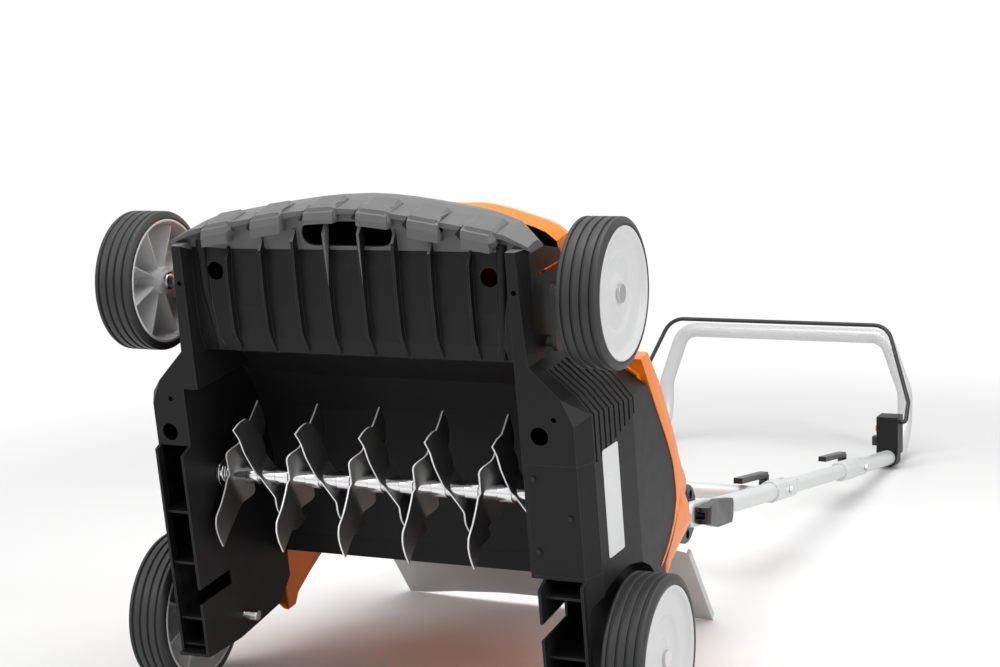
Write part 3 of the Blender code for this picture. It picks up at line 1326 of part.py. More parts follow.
# Rear flap
def make_flap():
    hy, hz = tipped(FLAP_Y, FLAP_Z)
    reach = math.hypot(FLAP_LEN, FLAP_T / 2)
    droop = math.asin((hz - GAP) / reach) - math.atan2(FLAP_T / 2, FLAP_LEN)
    out = Vector((0, *machine(hy + math.cos(droop), hz - math.sin(droop)))) - Vector((0, FLAP_Y, FLAP_Z))
    up = out.cross(Vector((1, 0, 0)))
    if up.y > 0:
        up = -up
    base = Vector((0, FLAP_Y, FLAP_Z))
    half = [(FLAP_NECK_X, 0.0), (FLAP_NECK_X, FLAP_NECK - 0.004), (FLAP_X, FLAP_NECK + 0.004),
            (FLAP_X, FLAP_LEN),
            (0.1900, FLAP_LEN - 0.0010), (0.1400, FLAP_LEN - 0.6 * FLAP_ARCH),
            (0.0700, FLAP_LEN - FLAP_ARCH)]
    outline = half + [(-x, s) for x, s in half[::-1]]
    plate = rings_solid([[base + Vector((x, 0, 0)) + out * s + up * n for x, s in outline]
                         for n in (-FLAP_T / 2, FLAP_T / 2)])
    for side in (1, -1):
        edge = [(side * FLAP_X, FLAP_NECK + 0.006), (side * FLAP_X, FLAP_LEN - 0.001),
                (side * (FLAP_X - WALL), FLAP_LEN - 0.001), (side * (FLAP_X - WALL), FLAP_NECK + 0.003)]
        join(plate, rings_solid([[base + Vector((x, 0, 0)) + out * s + up * n for x, s in edge]
                                 for n in (0.0, FLAP_EDGE)]))
    join(plate, rod_x(-FLAP_NECK_X, FLAP_NECK_X, HINGE_R, 12, (FLAP_Y, FLAP_Z)))
    cut(plate, rod_x(-FLAP_NECK_X - 0.01, FLAP_NECK_X + 0.01, PIN_R + GAP, 12, (FLAP_Y, FLAP_Z)))
    node("rear_flap", plate, "flap_grey", (0, FLAP_Y, FLAP_Z))
    x0 = bracket_x()[0]
    pin = rod_x(-x0 - 0.0060, x0 + 0.0060, PIN_R, 12, (FLAP_Y, FLAP_Z))
    node("flap_hinge_pin", pin, "steel", (0, FLAP_Y, FLAP_Z))


def stand_up():
    """Tip the machine and put the world origin under the middle of its box."""
    stance.matrix_world = TIP_MATRIX
    bpy.context.view_layer.update()
    low = Vector((1e9, 1e9, 1e9))
    high = -low
    for obj in bpy.context.scene.objects:
        if obj.type == "MESH":
            for vert in obj.data.vertices:
                p = obj.matrix_world @ vert.co
                for k in range(3):
                    low[k] = min(low[k], p[k])
                    high[k] = max(high[k], p[k])
    stance.location = (-(low.x + high.x) / 2, -(low.y + high.y) / 2, -low.z)


def main():
    make_wheels()
    make_rear_axles()
    make_front_crank()
    make_housing()
    make_belt_cover()
    make_cover_node()
    make_brackets()
    make_blade_shaft()
    for k in range(BLADES):
        make_blade(k)
    make_bearings()
    make_motor()
    make_belt()
    make_lower_bar()
    for number in (1, 2):
        for side in (1, -1):
            make_fold_sleeve(side, number)
    make_middle_tubes()
    make_loop()
    make_fold_bolts()
    make_fold_levers()
    make_pivot_levers()
    make_switch_parts()
    make_switch_small()
    make_bail()
    make_flap()
    stand_up()


main()
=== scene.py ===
"""Looks of an electric lawn scarifier that stands tipped back on its rear wheels and handle.

Metres.  Places are written in the machine's own axes (x across, y towards the handle, z up when
it works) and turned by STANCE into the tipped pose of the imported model.
"""

import json
import math

import bmesh
import bpy
from mathutils import Matrix, Vector

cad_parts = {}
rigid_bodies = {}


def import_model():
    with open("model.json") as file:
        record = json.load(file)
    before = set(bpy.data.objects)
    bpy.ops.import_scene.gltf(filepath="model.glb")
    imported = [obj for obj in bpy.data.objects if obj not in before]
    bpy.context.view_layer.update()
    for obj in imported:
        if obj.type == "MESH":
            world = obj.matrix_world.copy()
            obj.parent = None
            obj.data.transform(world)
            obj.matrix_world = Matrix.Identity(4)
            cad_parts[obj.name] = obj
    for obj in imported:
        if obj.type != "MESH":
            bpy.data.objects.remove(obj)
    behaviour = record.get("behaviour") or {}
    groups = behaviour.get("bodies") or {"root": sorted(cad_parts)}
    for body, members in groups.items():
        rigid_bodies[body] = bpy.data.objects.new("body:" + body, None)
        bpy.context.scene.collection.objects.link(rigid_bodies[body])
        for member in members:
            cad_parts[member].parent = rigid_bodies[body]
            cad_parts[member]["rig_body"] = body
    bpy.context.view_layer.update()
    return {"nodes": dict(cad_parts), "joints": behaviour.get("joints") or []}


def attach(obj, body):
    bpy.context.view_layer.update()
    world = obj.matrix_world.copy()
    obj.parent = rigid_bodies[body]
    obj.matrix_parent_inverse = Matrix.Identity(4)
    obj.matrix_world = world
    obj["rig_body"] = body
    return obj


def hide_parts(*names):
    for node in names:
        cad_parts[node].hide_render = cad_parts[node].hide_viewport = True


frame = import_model()
NODES = frame["nodes"]
TAU = 2 * math.pi

# The stance, read from the joints
JOINT_AT = {j["name"]: Vector(j["pos_m"]) for j in frame["joints"] if j.get("pos_m")}
AXLE = Vector((0, *JOINT_AT["rear_wheel_spin_right"].yz))
PIVOT = Vector((0, *JOINT_AT["handle_pivot"].yz))
PIVOT_OWN = Vector((0, -0.0240, 0.3430))
ARM = PIVOT - AXLE
TURN = math.atan2(ARM.z, ARM.y) - math.atan2(PIVOT_OWN.z, PIVOT_OWN.y)
STANCE = Matrix.Translation(AXLE) @ Matrix.Rotation(TURN, 4, "X")
LEAN = math.radians(15.35)
LEG_DIR = STANCE.to_3x3() @ Vector((0, math.sin(LEAN), math.cos(LEAN)))
LEG_UP = STANCE.to_3x3() @ Vector((0, -math.cos(LEAN), math.sin(LEAN)))

# Camera: the photograph's place, heading, tilt and lens
CAMERA_YAW = math.radians(24.4)
CAMERA_PITCH = math.radians(8.58)
CAMERA_ROLL = math.radians(-1.64)
CAMERA_X = 0.981
CAMERA_AHEAD_OF_AXLE = 1.891
CAMERA_HEIGHT = 0.732
CAMERA_LENS = 72
CAMERA_RISE = 0.0047

# Wheels
REAR = {"radius": 0.0884, "rim": 0.0771, "width": 0.0460}
FRONT = {"radius": 0.0760, "rim": 0.0673, "width": 0.0450}
TYRE_GROOVES = 4
GROOVE_DEPTH = 0.0024
GROOVE_TOP = 0.0017
GROOVE_LOW = 0.0009
SHOULDER_W = 0.0030
SHOULDER_H = 0.0060
TYRE_GAP = 0.0003
WEBS = 8
HUB_R = 0.0150
STUB_FROM_X = 0.2300
BORE_R = 0.0063
COLLAR_BORE_R = 0.0066
COLLAR_R = 0.0100
COLLAR_OUT = 0.0040
COLLAR_IN = 0.0030

# Blades and shaft
SHAFT_Y = -0.1754
SHAFT_Z = -0.0091
SHAFT_R = 0.0085
SLEEVE_R = 0.0102
BLADES = 10
BLADE_FIRST_X = -0.1830
BLADE_PITCH = 0.0382
BLADE_T = 0.0018
BLADE_OFFSET = 0.0095
BLADE_CREASE = 0.0120
CREASE_LINES = (-1.15, -0.85, 0.85, 1.15)
CREASE_END = 1.1
CREASE_MOST = 0.97
FIRST_ARM_ANGLE = math.radians(-57.5)
NEXT_ARM_ANGLE = math.radians(-144.5)
CHAMBER_LEFT_X = -0.2050
PULLEY_X = 0.2100
PULLEY_W = 0.0160
PULLEY_R = 0.0200
PULLEY_LIP_R = 0.0220
PULLEY_LIP_W = 0.0025
SHAFT_STUB = 0.0110
AXIS_R = 0.0005
FLANGE_R = 0.0160
FLANGE_W = 0.0025
NECK_R = SHAFT_R + 0.0025
NECK_W = 0.0045
SLEEVE_GAP = 0.0015

# Handle
LEG_X = 0.2160
LOWER_R = 0.0125
MIDDLE_R = 0.0110
LOOP_R = 0.0125
FOLD_1 = 0.3780
FOLD_2 = 0.8040
FOLD_1_FRONT = 0.0440
FOLD_2_FRONT = 0.0240
TUBE_END = 0.0180
CROSS_S = 0.2850
CROSS_R = 0.0110
TONGUE_T = 0.0150
RING_S = 1.0310
LOOP_Y = 1.4715
LOOP_KINK_Z = 0.1080
LOOP_GRIP_X = 0.1820
LOOP_GRIP_Z = 0.2040
LOOP_BENDS = (0, 0.070, 0.060, 0.034, 0.034, 0.060, 0.070, 0)
JOINT_GAP = 0.0040
TONGUE_REAR_R = 0.0110
TONGUE_FRONT_R = 0.0105
TONGUE_REACH = 0.0160
ROUND_STEPS = 12
EYE_HALF_W = 0.0160
EYE_HALF_T = 0.0055
FLAT_END = 0.0460
SWELL = 0.0340
SQUARE_POWER = 0.62
BAIL_R = 0.0035
BAIL_BENDS = (0, 0.006, 0.020, 0.034, 0.034, 0.020, 0.006, 0)
BAIL_HUB = (0.0040, 0.0600)
BAIL_HUB_REACH = 0.0260
BAIL_ELBOW = (0.0200, 0.0300)
BAIL_GRIP = (0.0120, -0.0340, 0.0240)


def own(x, y, z):
    """World place of a point in the machine's own axes."""
    return STANCE @ Vector((x, y, z))


def leg(x, s, v=0.0):
    """World place beside the handle's leg: s along it from the pivot, v towards the front."""
    return Vector((x, 0, 0)) + PIVOT + LEG_DIR * s + LEG_UP * v


def place_camera():
    """Camera with the photograph's view of the machine."""
    flat = math.cos(CAMERA_PITCH)
    ahead = Vector((-math.sin(CAMERA_YAW) * flat, math.cos(CAMERA_YAW) * flat, -math.sin(CAMERA_PITCH)))
    right = ahead.cross(Vector((0, 0, 1))).normalized()
    up = right.cross(ahead)
    right = right * math.cos(CAMERA_ROLL) + up * math.sin(CAMERA_ROLL)
    up = right.cross(ahead)
    data = bpy.data.cameras.new("studio_camera")
    data.sensor_width = 36
    data.lens = CAMERA_LENS
    data.shift_y = CAMERA_RISE
    camera = bpy.data.objects.new("studio_camera", data)
    bpy.context.scene.collection.objects.link(camera)
    pose = Matrix((right, up, -ahead)).transposed().to_4x4()
    pose.translation = (CAMERA_X, AXLE.y - CAMERA_AHEAD_OF_AXLE, CAMERA_HEIGHT)
    camera.matrix_world = pose
    bpy.context.scene.camera = camera


# Finishes
BUMP_STRENGTH = 0.5
GLOSS_PATCH_RATIO = 7
COAT_ROUGHNESS = 0.12
# Painted highlight along soft edges: where it starts, where it is full, and how light it gets at most.
HIGHLIGHT_FROM = 0.995
HIGHLIGHT_FULL = 0.900
HIGHLIGHT_MOST = 0.8


def shader_of(name):
    """A new material with its node tree and main shader."""
    mat = bpy.data.materials.new(name)
    mat.use_nodes = True
    return mat, mat.node_tree, mat.node_tree.nodes["Principled BSDF"]


def wire(tree, source, out, target, into):
    tree.links.new(source.outputs[out], target.inputs[into])


def texture(tree, kind, scale, coords=None, detail=2.0):
    node = tree.nodes.new(kind)
    node.inputs["Scale"].default_value = scale
    if "Detail" in node.inputs:
        node.inputs["Detail"].default_value = detail
    if coords is not None:
        tree.links.new(coords, node.inputs["Vector"])
    return node


def ranged(tree, source, low, high):
    """Map a 0..1 texture value on low..high."""
    node = tree.nodes.new("ShaderNodeMapRange")
    node.inputs["To Min"].default_value = low
    node.inputs["To Max"].default_value = high
    tree.links.new(source, node.inputs["Value"])
    return node.outputs["Result"]


def finish(name, colour, rough, metal=0.0, grain=900.0, depth=0.00012, mottle=0.10, spread=0.06,
           stretch=None, edge=0.0007, coat=0.0, patch=9.0, edge_highlight=0.0, shine=0.5):
    """A moulded, painted or machined surface: mottled colour, uneven gloss, grain and soft edges; where
    asked, a painted highlight lightens the soft edges.
    """
    mat, tree, shader = shader_of(name)
    place = tree.nodes.new("ShaderNodeTexCoord").outputs["Object"]
    streaked = place
    if stretch:
        mapping = tree.nodes.new("ShaderNodeMapping")
        mapping.inputs["Scale"].default_value = stretch
        tree.links.new(place, mapping.inputs["Vector"])
        streaked = mapping.outputs["Vector"]
    cloud = texture(tree, "ShaderNodeTexNoise", patch, place, 3.0)
    mix = tree.nodes.new("ShaderNodeMix")
    mix.data_type = "RGBA"
    mix.inputs[6].default_value = (*[c * (1 - mottle) for c in colour], 1)
    mix.inputs[7].default_value = (*[min(1.0, c * (1 + mottle)) for c in colour], 1)
    tree.links.new(cloud.outputs["Fac"], mix.inputs["Factor"])
    colour_out = mix.outputs[2]
    gloss = texture(tree, "ShaderNodeTexNoise", patch * GLOSS_PATCH_RATIO, streaked, 4.0)
    uneven = ranged(tree, gloss.outputs["Fac"], rough - spread, rough + spread)
    tree.links.new(uneven, shader.inputs["Roughness"])
    fine = texture(tree, "ShaderNodeTexNoise", grain, streaked, 2.0)
    bump = tree.nodes.new("ShaderNodeBump")
    bump.inputs["Strength"].default_value = BUMP_STRENGTH
    bump.inputs["Distance"].default_value = depth
    wire(tree, fine, "Fac", bump, "Height")
    if edge:
        soft = tree.nodes.new("ShaderNodeBevel")
        soft.samples = 4
        soft.inputs["Radius"].default_value = edge
        wire(tree, soft, "Normal", bump, "Normal")
        # Painted highlight on the soft edges.
        if edge_highlight:
            colour_out = edge_painted_highlight(tree, soft, colour_out, edge_highlight)
    tree.links.new(colour_out, shader.inputs["Base Color"])
    wire(tree, bump, "Normal", shader, "Normal")
    shader.inputs["Metallic"].default_value = metal
    shader.inputs["Specular IOR Level"].default_value = shine
    shader.inputs["Coat Weight"].default_value = coat
    shader.inputs["Coat Roughness"].default_value = COAT_ROUGHNESS
    return mat


def edge_painted_highlight(tree, soft, colour_out, amount):
    """Painted highlight: lighter colour where a soft edge bends away from the flat face beside it."""
    flat = tree.nodes.new("ShaderNodeNewGeometry")
    alike = tree.nodes.new("ShaderNodeVectorMath")
    alike.operation = "DOT_PRODUCT"
    share = tree.nodes.new("ShaderNodeMapRange")
    share.inputs["From Min"].default_value = HIGHLIGHT_FROM
    share.inputs["From Max"].default_value = HIGHLIGHT_FULL
    share.inputs["To Max"].default_value = HIGHLIGHT_MOST
    pale = tree.nodes.new("ShaderNodeMix")
    pale.data_type = "RGBA"
    pale.inputs[7].default_value = (amount, amount, amount, 1)
    wire(tree, soft, "Normal", alike, 0)
    wire(tree, flat, "Normal", alike, 1)
    wire(tree, alike, "Value", share, "Value")
    wire(tree, share, "Result", pale, "Factor")
    tree.links.new(colour_out, pale.inputs[6])
    return pale.outputs[2]


PAINTS = {
    # The black and the grey mouldings carry a painted highlight along their soft edges.
    "black_plastic": finish("grained_black_moulding", (0.0095, 0.0095, 0.0102), 0.44, grain=1500,
                            depth=0.00016, edge_highlight=0.09, shine=0.20),
    # Painted light: the nose, the top of the tipped machine, is a lighter grey copy of the black moulding,
    # with painted highlight on its edges.
    "nose_painted_light": finish("grey_nose_painted_light", (0.120, 0.120, 0.123), 0.46, grain=1500, depth=0.00020,
                           edge_highlight=0.22, shine=0.35),
    "lever_plastic": finish("satin_black_lever", (0.009, 0.009, 0.010), 0.34, grain=700, depth=0.00005),
    "orange_plastic": finish("glossy_orange_hood", (0.800, 0.200, 0.006), 0.34, grain=260, depth=0.00006,
                             mottle=0.04, shine=0.30),
    "rubber": finish("ribbed_tyre_rubber", (0.017, 0.017, 0.018), 0.50, grain=1800, depth=0.00018,
                     patch=30, edge=0.0),
    "rim_plastic": finish("pale_rim_moulding", (0.590, 0.590, 0.595), 0.40, grain=1200, depth=0.00008,
                          mottle=0.03, edge=0.0),
    "flap_grey": finish("grey_flap_moulding", (0.520, 0.525, 0.530), 0.46, grain=1300, depth=0.00014,
                        mottle=0.05),
    "steel": finish("zinc_plated_steel", (0.640, 0.640, 0.650), 0.24, metal=1.0, grain=500, depth=0.00003,
                    stretch=(6, 1, 1), edge=0.0004),
    "shaft_chrome": finish("turned_bright_shaft", (0.800, 0.800, 0.810), 0.14, metal=1.0, grain=160,
                           depth=0.00003, stretch=(12, 1, 1), edge=0.0),
    "blade_steel": finish("dark_rolled_blade_steel", (0.210, 0.208, 0.205), 0.36, metal=0.9, grain=260,
                          depth=0.00005, mottle=0.25, stretch=(1, 1, 5), edge=0.0, patch=40),
    # Blade edges: ground steel made pale and matte as painted highlight.
    "ground_edge_and_highlight": finish("ground_blade_edge_painted_highlight", (0.880, 0.880, 0.890), 0.30, metal=0.2, grain=1400,
                          depth=0.00003, edge=0.0),
    "tube_paint": finish("silver_powder_coat", (0.640, 0.645, 0.650), 0.33, metal=0.15, grain=2600,
                         depth=0.00006, mottle=0.03, edge=0.0),
    "black_oxide": finish("blackened_screw_steel", (0.020, 0.020, 0.021), 0.38, metal=0.6, edge=0.0),
    "motor_paint": finish("dark_painted_casing", (0.060, 0.061, 0.063), 0.45, metal=0.2, grain=900),
    "label": finish("blank_pale_label", (0.620, 0.622, 0.625), 0.30, grain=400, depth=0.00001, mottle=0.02,
                    edge=0.0),
}


# Shaping tools
def skin(bm, rings, closed=False, caps=True, paint=0):
    """Faces between a row of equal rings of points."""
    made = [[bm.verts.new(p) for p in ring] for ring in rings]
    sides = len(made[0])
    faces = []
    for k in range(len(made) if closed else len(made) - 1):
        a = made[k]
        b = made[(k + 1) % len(made)]
        for i in range(sides):
            j = (i + 1) % sides
            faces.append(bm.faces.new((a[i], a[j], b[j], b[i])))
    if caps and not closed:
        faces.append(bm.faces.new(made[0]))
        faces.append(bm.faces.new(made[-1]))
    for face in faces:
        face.material_index = paint
    return faces


def lathe(bm, outline, centre, sides, paint=0):
    """Turn a closed outline of (x, radius) points about the X line through centre."""
    rings = []
    for k in range(sides):
        a = TAU * k / sides
        rings.append([(centre.x + x, centre.y + r * math.cos(a), centre.z + r * math.sin(a))
                      for x, r in outline])
    return skin(bm, rings, closed=True, paint=paint)


def soften(corners, closed=True, steps=4):
    """Round each (a, b, radius) corner of an outline."""
    points = []
    n = len(corners)
    for i, (a, b, radius) in enumerate(corners):
        p = Vector((a, b))
        if radius <= 0 or (not closed and i in (0, n - 1)):
            points.append((a, b))
            continue
        to_last = Vector(corners[i - 1][:2]) - p
        to_next = Vector(corners[(i + 1) % n][:2]) - p
        reach = min(radius, to_last.length * 0.45, to_next.length * 0.45)
        start = p + to_last.normalized() * reach
        end = p + to_next.normalized() * reach
        for k in range(steps + 1):
            t = k / steps
            q = start * (1 - t) ** 2 + p * (2 * t * (1 - t)) + end * t ** 2
            points.append((q.x, q.y))
    return points


def bend_path(corners, radii, step=math.radians(7)):
    """Points along a line of corners, each rounded by its radius."""
    points = [corners[0]]
    for i in range(1, len(corners) - 1):
        p = corners[i]
        a = (corners[i - 1] - p).normalized()
        b = (corners[i + 1] - p).normalized()
        turn = math.pi - a.angle(b)
        centre = p + (a + b).normalized() * (radii[i] / math.cos(turn / 2))
        start = p + a * (radii[i] * math.tan(turn / 2)) - centre
        axis = a.cross(b).normalized()
        count = max(3, math.ceil(turn / step))
        points += [centre + Matrix.Rotation(-turn * k / count, 3, axis) @ start for k in range(count + 1)]
    points.append(corners[-1])
    return points


def made_object(name, bm, paints, sharp=35):
    """Close a shape's mesh, point its faces outwards and give it its finishes."""
    bmesh.ops.remove_doubles(bm, verts=bm.verts, dist=1e-6)
    bmesh.ops.recalc_face_normals(bm, faces=bm.faces)
    mesh = bpy.data.meshes.new(name)
    bm.to_mesh(mesh)
    bm.free()
    obj = bpy.data.objects.new(name, mesh)
    bpy.context.scene.collection.objects.link(obj)
    dress(obj, paints, sharp)
    return obj


def dress(obj, paints, sharp=35):
    """Give a piece its finishes; faces that meet at more than the sharp angle keep a crisp edge."""
    if obj.data.materials:
        obj.data.materials.clear()
    for paint in paints:
        obj.data.materials.append(PAINTS[paint])
    if sharp:
        obj.data.shade_smooth()
        obj.data.set_sharp_from_angle(angle=math.radians(sharp))


def fit(obj, body, slot, *nodes):
    """Let a finished piece ride on its body and stand for its CAD nodes."""
    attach(obj, body)
    if nodes:
        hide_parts(*nodes)
    return obj


def body_of_node(node):
    """Body that a CAD node rides on."""
    return NODES[node]["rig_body"]


# Geometry Nodes tools
def start_tree(name, inputs):
    """A new tree with a geometry input and the named inputs, and their identifiers."""
    tree = bpy.data.node_groups.new(name, "GeometryNodeTree")
    tree.interface.new_socket(name="Geometry", in_out="INPUT", socket_type="NodeSocketGeometry")
    sockets = {}
    for label, kind in inputs:
        sockets[label] = tree.interface.new_socket(name=label, in_out="INPUT", socket_type=kind).identifier
    tree.interface.new_socket(name="Geometry", in_out="OUTPUT", socket_type="NodeSocketGeometry")
    return tree, sockets, tree.nodes.new("NodeGroupInput"), tree.nodes.new("NodeGroupOutput")


def end_tree(tree, last, source, sink):
    """Make the result plain geometry and give it its material."""
    realize = tree.nodes.new("GeometryNodeRealizeInstances")
    paint = tree.nodes.new("GeometryNodeSetMaterial")
    tree.links.new(last, realize.inputs["Geometry"])
    wire(tree, realize, "Geometry", paint, "Geometry")
    wire(tree, source, "Material", paint, "Material")
    wire(tree, paint, "Geometry", sink, "Geometry")


def tube_tree():
    """A round bar swept along the piece's own line."""
    tree, sockets, source, sink = start_tree("bent_tube", (
        ("Radius", "NodeSocketFloat"), ("Sides", "NodeSocketInt"), ("Material", "NodeSocketMaterial")))
    line = tree.nodes.new("GeometryNodeMeshToCurve")
    section = tree.nodes.new("GeometryNodeCurvePrimitiveCircle")
    sweep = tree.nodes.new("GeometryNodeCurveToMesh")
    sweep.inputs["Fill Caps"].default_value = True
    wire(tree, source, "Geometry", line, "Mesh")
    wire(tree, source, "Radius", section, "Radius")
    wire(tree, source, "Sides", section, "Resolution")
    wire(tree, line, "Curve", sweep, "Curve")
    wire(tree, section, "Curve", sweep, "Profile Curve")
    end_tree(tree, sweep.outputs["Mesh"], source, sink)
    return tree, sockets


def wheel_tree():
    """The piece's own shape, repeated round the X axis."""
    tree, sockets, source, sink = start_tree("round_the_axle", (
        ("Count", "NodeSocketInt"), ("Phase", "NodeSocketFloat"), ("Material", "NodeSocketMaterial")))
    line = tree.nodes.new("GeometryNodeMeshLine")
    line.inputs["Offset"].default_value = (0, 0, 0)
    index = tree.nodes.new("GeometryNodeInputIndex")
    step = tree.nodes.new("ShaderNodeMath")
    step.operation = "DIVIDE"
    step.inputs[0].default_value = TAU
    angle = tree.nodes.new("ShaderNodeMath")
    angle.operation = "MULTIPLY_ADD"
    spin = tree.nodes.new("ShaderNodeCombineXYZ")
    place = tree.nodes.new("GeometryNodeInstanceOnPoints")
    wire(tree, source, "Count", line, "Count")
    wire(tree, source, "Count", step, 1)
    wire(tree, index, "Index", angle, 0)
    wire(tree, step, "Value", angle, 1)
    wire(tree, source, "Phase", angle, 2)
    wire(tree, angle, "Value", spin, "X")
    wire(tree, line, "Mesh", place, "Points")
    wire(tree, source, "Geometry", place, "Instance")
    wire(tree, spin, "Vector", place, "Rotation")
    end_tree(tree, place.outputs["Instances"], source, sink)
    return tree, sockets


TUBE = tube_tree()
ROUND = wheel_tree()


def grow(obj, recipe, paint, **inputs):
    """Run a node tree on a piece and keep the result as its plain mesh."""
    tree, sockets = recipe
    modifier = obj.modifiers.new("shape", "NODES")
    modifier.node_group = tree
    modifier[sockets["Material"]] = PAINTS[paint]
    for label, value in inputs.items():
        modifier[sockets[label]] = value
    graph = bpy.context.evaluated_depsgraph_get()
    mesh = bpy.data.meshes.new_from_object(obj.evaluated_get(graph))
    obj.modifiers.clear()
    obj.data = mesh
    return obj


def tube(name, points, radius, paint, sides=32):
    """A round bar along a row of points."""
    mesh = bpy.data.meshes.new(name)
    mesh.from_pydata([tuple(p) for p in points], [(i, i + 1) for i in range(len(points) - 1)], [])
    obj = bpy.data.objects.new(name, mesh)
    bpy.context.scene.collection.objects.link(obj)
    grow(obj, TUBE, paint, Radius=radius, Sides=sides)
    dress(obj, [paint])
    return obj


def absorb(obj, *others):
    """Add the meshes of other pieces to a piece; each keeps its own shading."""
    bm = bmesh.new()
    bm.from_mesh(obj.data)
    slots = [m.name for m in obj.data.materials]
    for other in others:
        first = len(bm.faces)
        names = [m.name for m in other.data.materials]
        for name in names:
            if name not in slots:
                slots.append(name)
                obj.data.materials.append(bpy.data.materials[name])
        bm.from_mesh(other.data)
        bm.faces.ensure_lookup_table()
        for face in bm.faces[first:]:
            face.material_index = slots.index(names[face.material_index])
        bpy.data.objects.remove(other, do_unlink=True)
    bmesh.ops.recalc_face_normals(bm, faces=bm.faces)
    bm.to_mesh(obj.data)
    bm.free()
    return obj


def rounded_copy(node, paint, width=0.0006, segments=2):
    """A CAD node's shape with joined faces and softened edges."""
    bm = bmesh.new()
    bm.from_mesh(NODES[node].data)
    bmesh.ops.remove_doubles(bm, verts=bm.verts, dist=1e-5)
    bmesh.ops.dissolve_limit(bm, angle_limit=math.radians(0.4), verts=bm.verts, edges=bm.edges)
    obj = made_object(node + "_finished", bm, [paint])
    if width:
        bevel = obj.modifiers.new("soft_edges", "BEVEL")
        bevel.width = width
        bevel.segments = segments
        bevel.limit_method = "ANGLE"
        bevel.angle_limit = math.radians(38)
        bevel.harden_normals = True
    return fit(obj, body_of_node(node), paint, node)


# Wheels
def tyre(size, centre, side):
    """Ribbed solid tyre with a rounded shoulder and a thin side wall."""
    half = size["width"] / 2
    radius = size["radius"]
    inner = size["rim"] + TYRE_GAP
    land = (size["width"] - 2 * SHOULDER_W) / TYRE_GROOVES
    floor = radius - GROOVE_DEPTH
    corners = [(-half, inner, 0.0004), (-half, radius - SHOULDER_H, 0.0030),
               (-half + SHOULDER_W, radius, 0.0022)]
    for g in range(TYRE_GROOVES):
        x = -half + SHOULDER_W + land * (g + 0.5)
        corners += [(x - GROOVE_TOP, radius, 0.0006), (x - GROOVE_LOW, floor, 0.0004),
                    (x + GROOVE_LOW, floor, 0.0004), (x + GROOVE_TOP, radius, 0.0006)]
    corners += [(half - SHOULDER_W, radius, 0.0022), (half, radius - SHOULDER_H, 0.0030),
                (half, inner, 0.0004)]
    bm = bmesh.new()
    lathe(bm, [(side * x, r) for x, r in soften(corners, steps=3)], centre, 96)
    return bm


def rim_outline(size):
    """Dished disc near the outer side, hub and barrel, seen in the plane of the axle."""
    half = size["width"] / 2
    rim = size["rim"]
    ring = 0.60 * rim
    return [(half - 0.0060, BORE_R, 0.0), (half - 0.0060, HUB_R - 0.0010, 0.0012),
            (half - 0.0095, HUB_R + 0.0045, 0.0030), (half - 0.0100, ring - 0.0050, 0.0040),
            (half - 0.0065, ring, 0.0040), (half - 0.0068, rim - 0.0085, 0.0040),
            (half - 0.0012, rim - 0.0040, 0.0020), (half, rim - 0.0012, 0.0008), (half - 0.0008, rim, 0.0006),
            (-half, rim, 0.0006), (-half, rim - 0.0028, 0.0006), (half - 0.0125, rim - 0.0052, 0.0050),
            (half - 0.0132, HUB_R, 0.0030), (-half + 0.0020, HUB_R, 0.0008), (-half + 0.0020, BORE_R, 0.0)]


def rim_web(size):
    """One web between hub and barrel: thick at the disc, thin at its free edge."""
    half = size["width"] / 2
    inner = HUB_R - 0.0015
    outer = size["rim"] - 0.0020
    bm = bmesh.new()
    rows = []
    for x, thick in ((half - 0.0115, 0.0042), (half - 0.0180, 0.0020), (-half + 0.0100, 0.0013),
                     (-half + 0.0080, 0.0008)):
        rows.append([(x, inner, -thick), (x, outer, -thick), (x, outer, thick), (x, inner, thick)])
    skin(bm, rows)
    return made_object("rim_webs", bm, ["rim_plastic"])


def make_wheels():
    """Four wheels: dished rims with webs behind the disc, and ribbed tyres."""
    for place, size in (("rear", REAR), ("front", FRONT)):
        for side, word in ((1, "right"), (-1, "left")):
            centre = JOINT_AT[f"{place}_wheel_spin_{word}"]
            body = f"{place}_roller_{word}"
            ring = made_object(f"{place}_tyre_ribbed_{word}", tyre(size, centre, side), ["rubber"], 50)
            fit(ring, body, "rubber", f"{place}_tyre_{word}")
            webs = grow(rim_web(size), ROUND, "rim_plastic", Count=WEBS, Phase=math.pi / WEBS)
            if side < 0:
                webs.data.transform(Matrix.Scale(-1, 4, Vector((1, 0, 0))))
            webs.data.transform(Matrix.Translation(centre))
            bm = bmesh.new()
            lathe(bm, [(side * x, r) for x, r in soften(rim_outline(size))], centre, 96)
            rim = made_object(f"{place}_rim_dished_{word}", bm, ["rim_plastic"], 50)
            absorb(rim, webs)
            fit(rim, body, "rim_plastic", f"{place}_wheel_{word}")


def make_axle_collars():
    """Bright collar on the axle at the inner side of each wheel."""
    for place, size in (("rear", REAR), ("front", FRONT)):
        for side, word in ((1, "right"), (-1, "left")):
            start = -size["width"] / 2 - COLLAR_OUT
            end = -size["width"] / 2 + COLLAR_IN
            centre = JOINT_AT[f"{place}_wheel_spin_{word}"]
            collar = [(start, COLLAR_BORE_R, 0), (start, COLLAR_R, 0.0006), (end, COLLAR_R, 0.0006),
                      (end, COLLAR_BORE_R, 0)]
            bm = bmesh.new()
            lathe(bm, [(side * x, r) for x, r in soften(collar, steps=2)], centre, 32)
            ring = made_object(f"{place}_axle_collar_{word}", bm, ["shaft_chrome"])
            fit(ring, f"{place}_roller_{word}", "shaft_chrome")


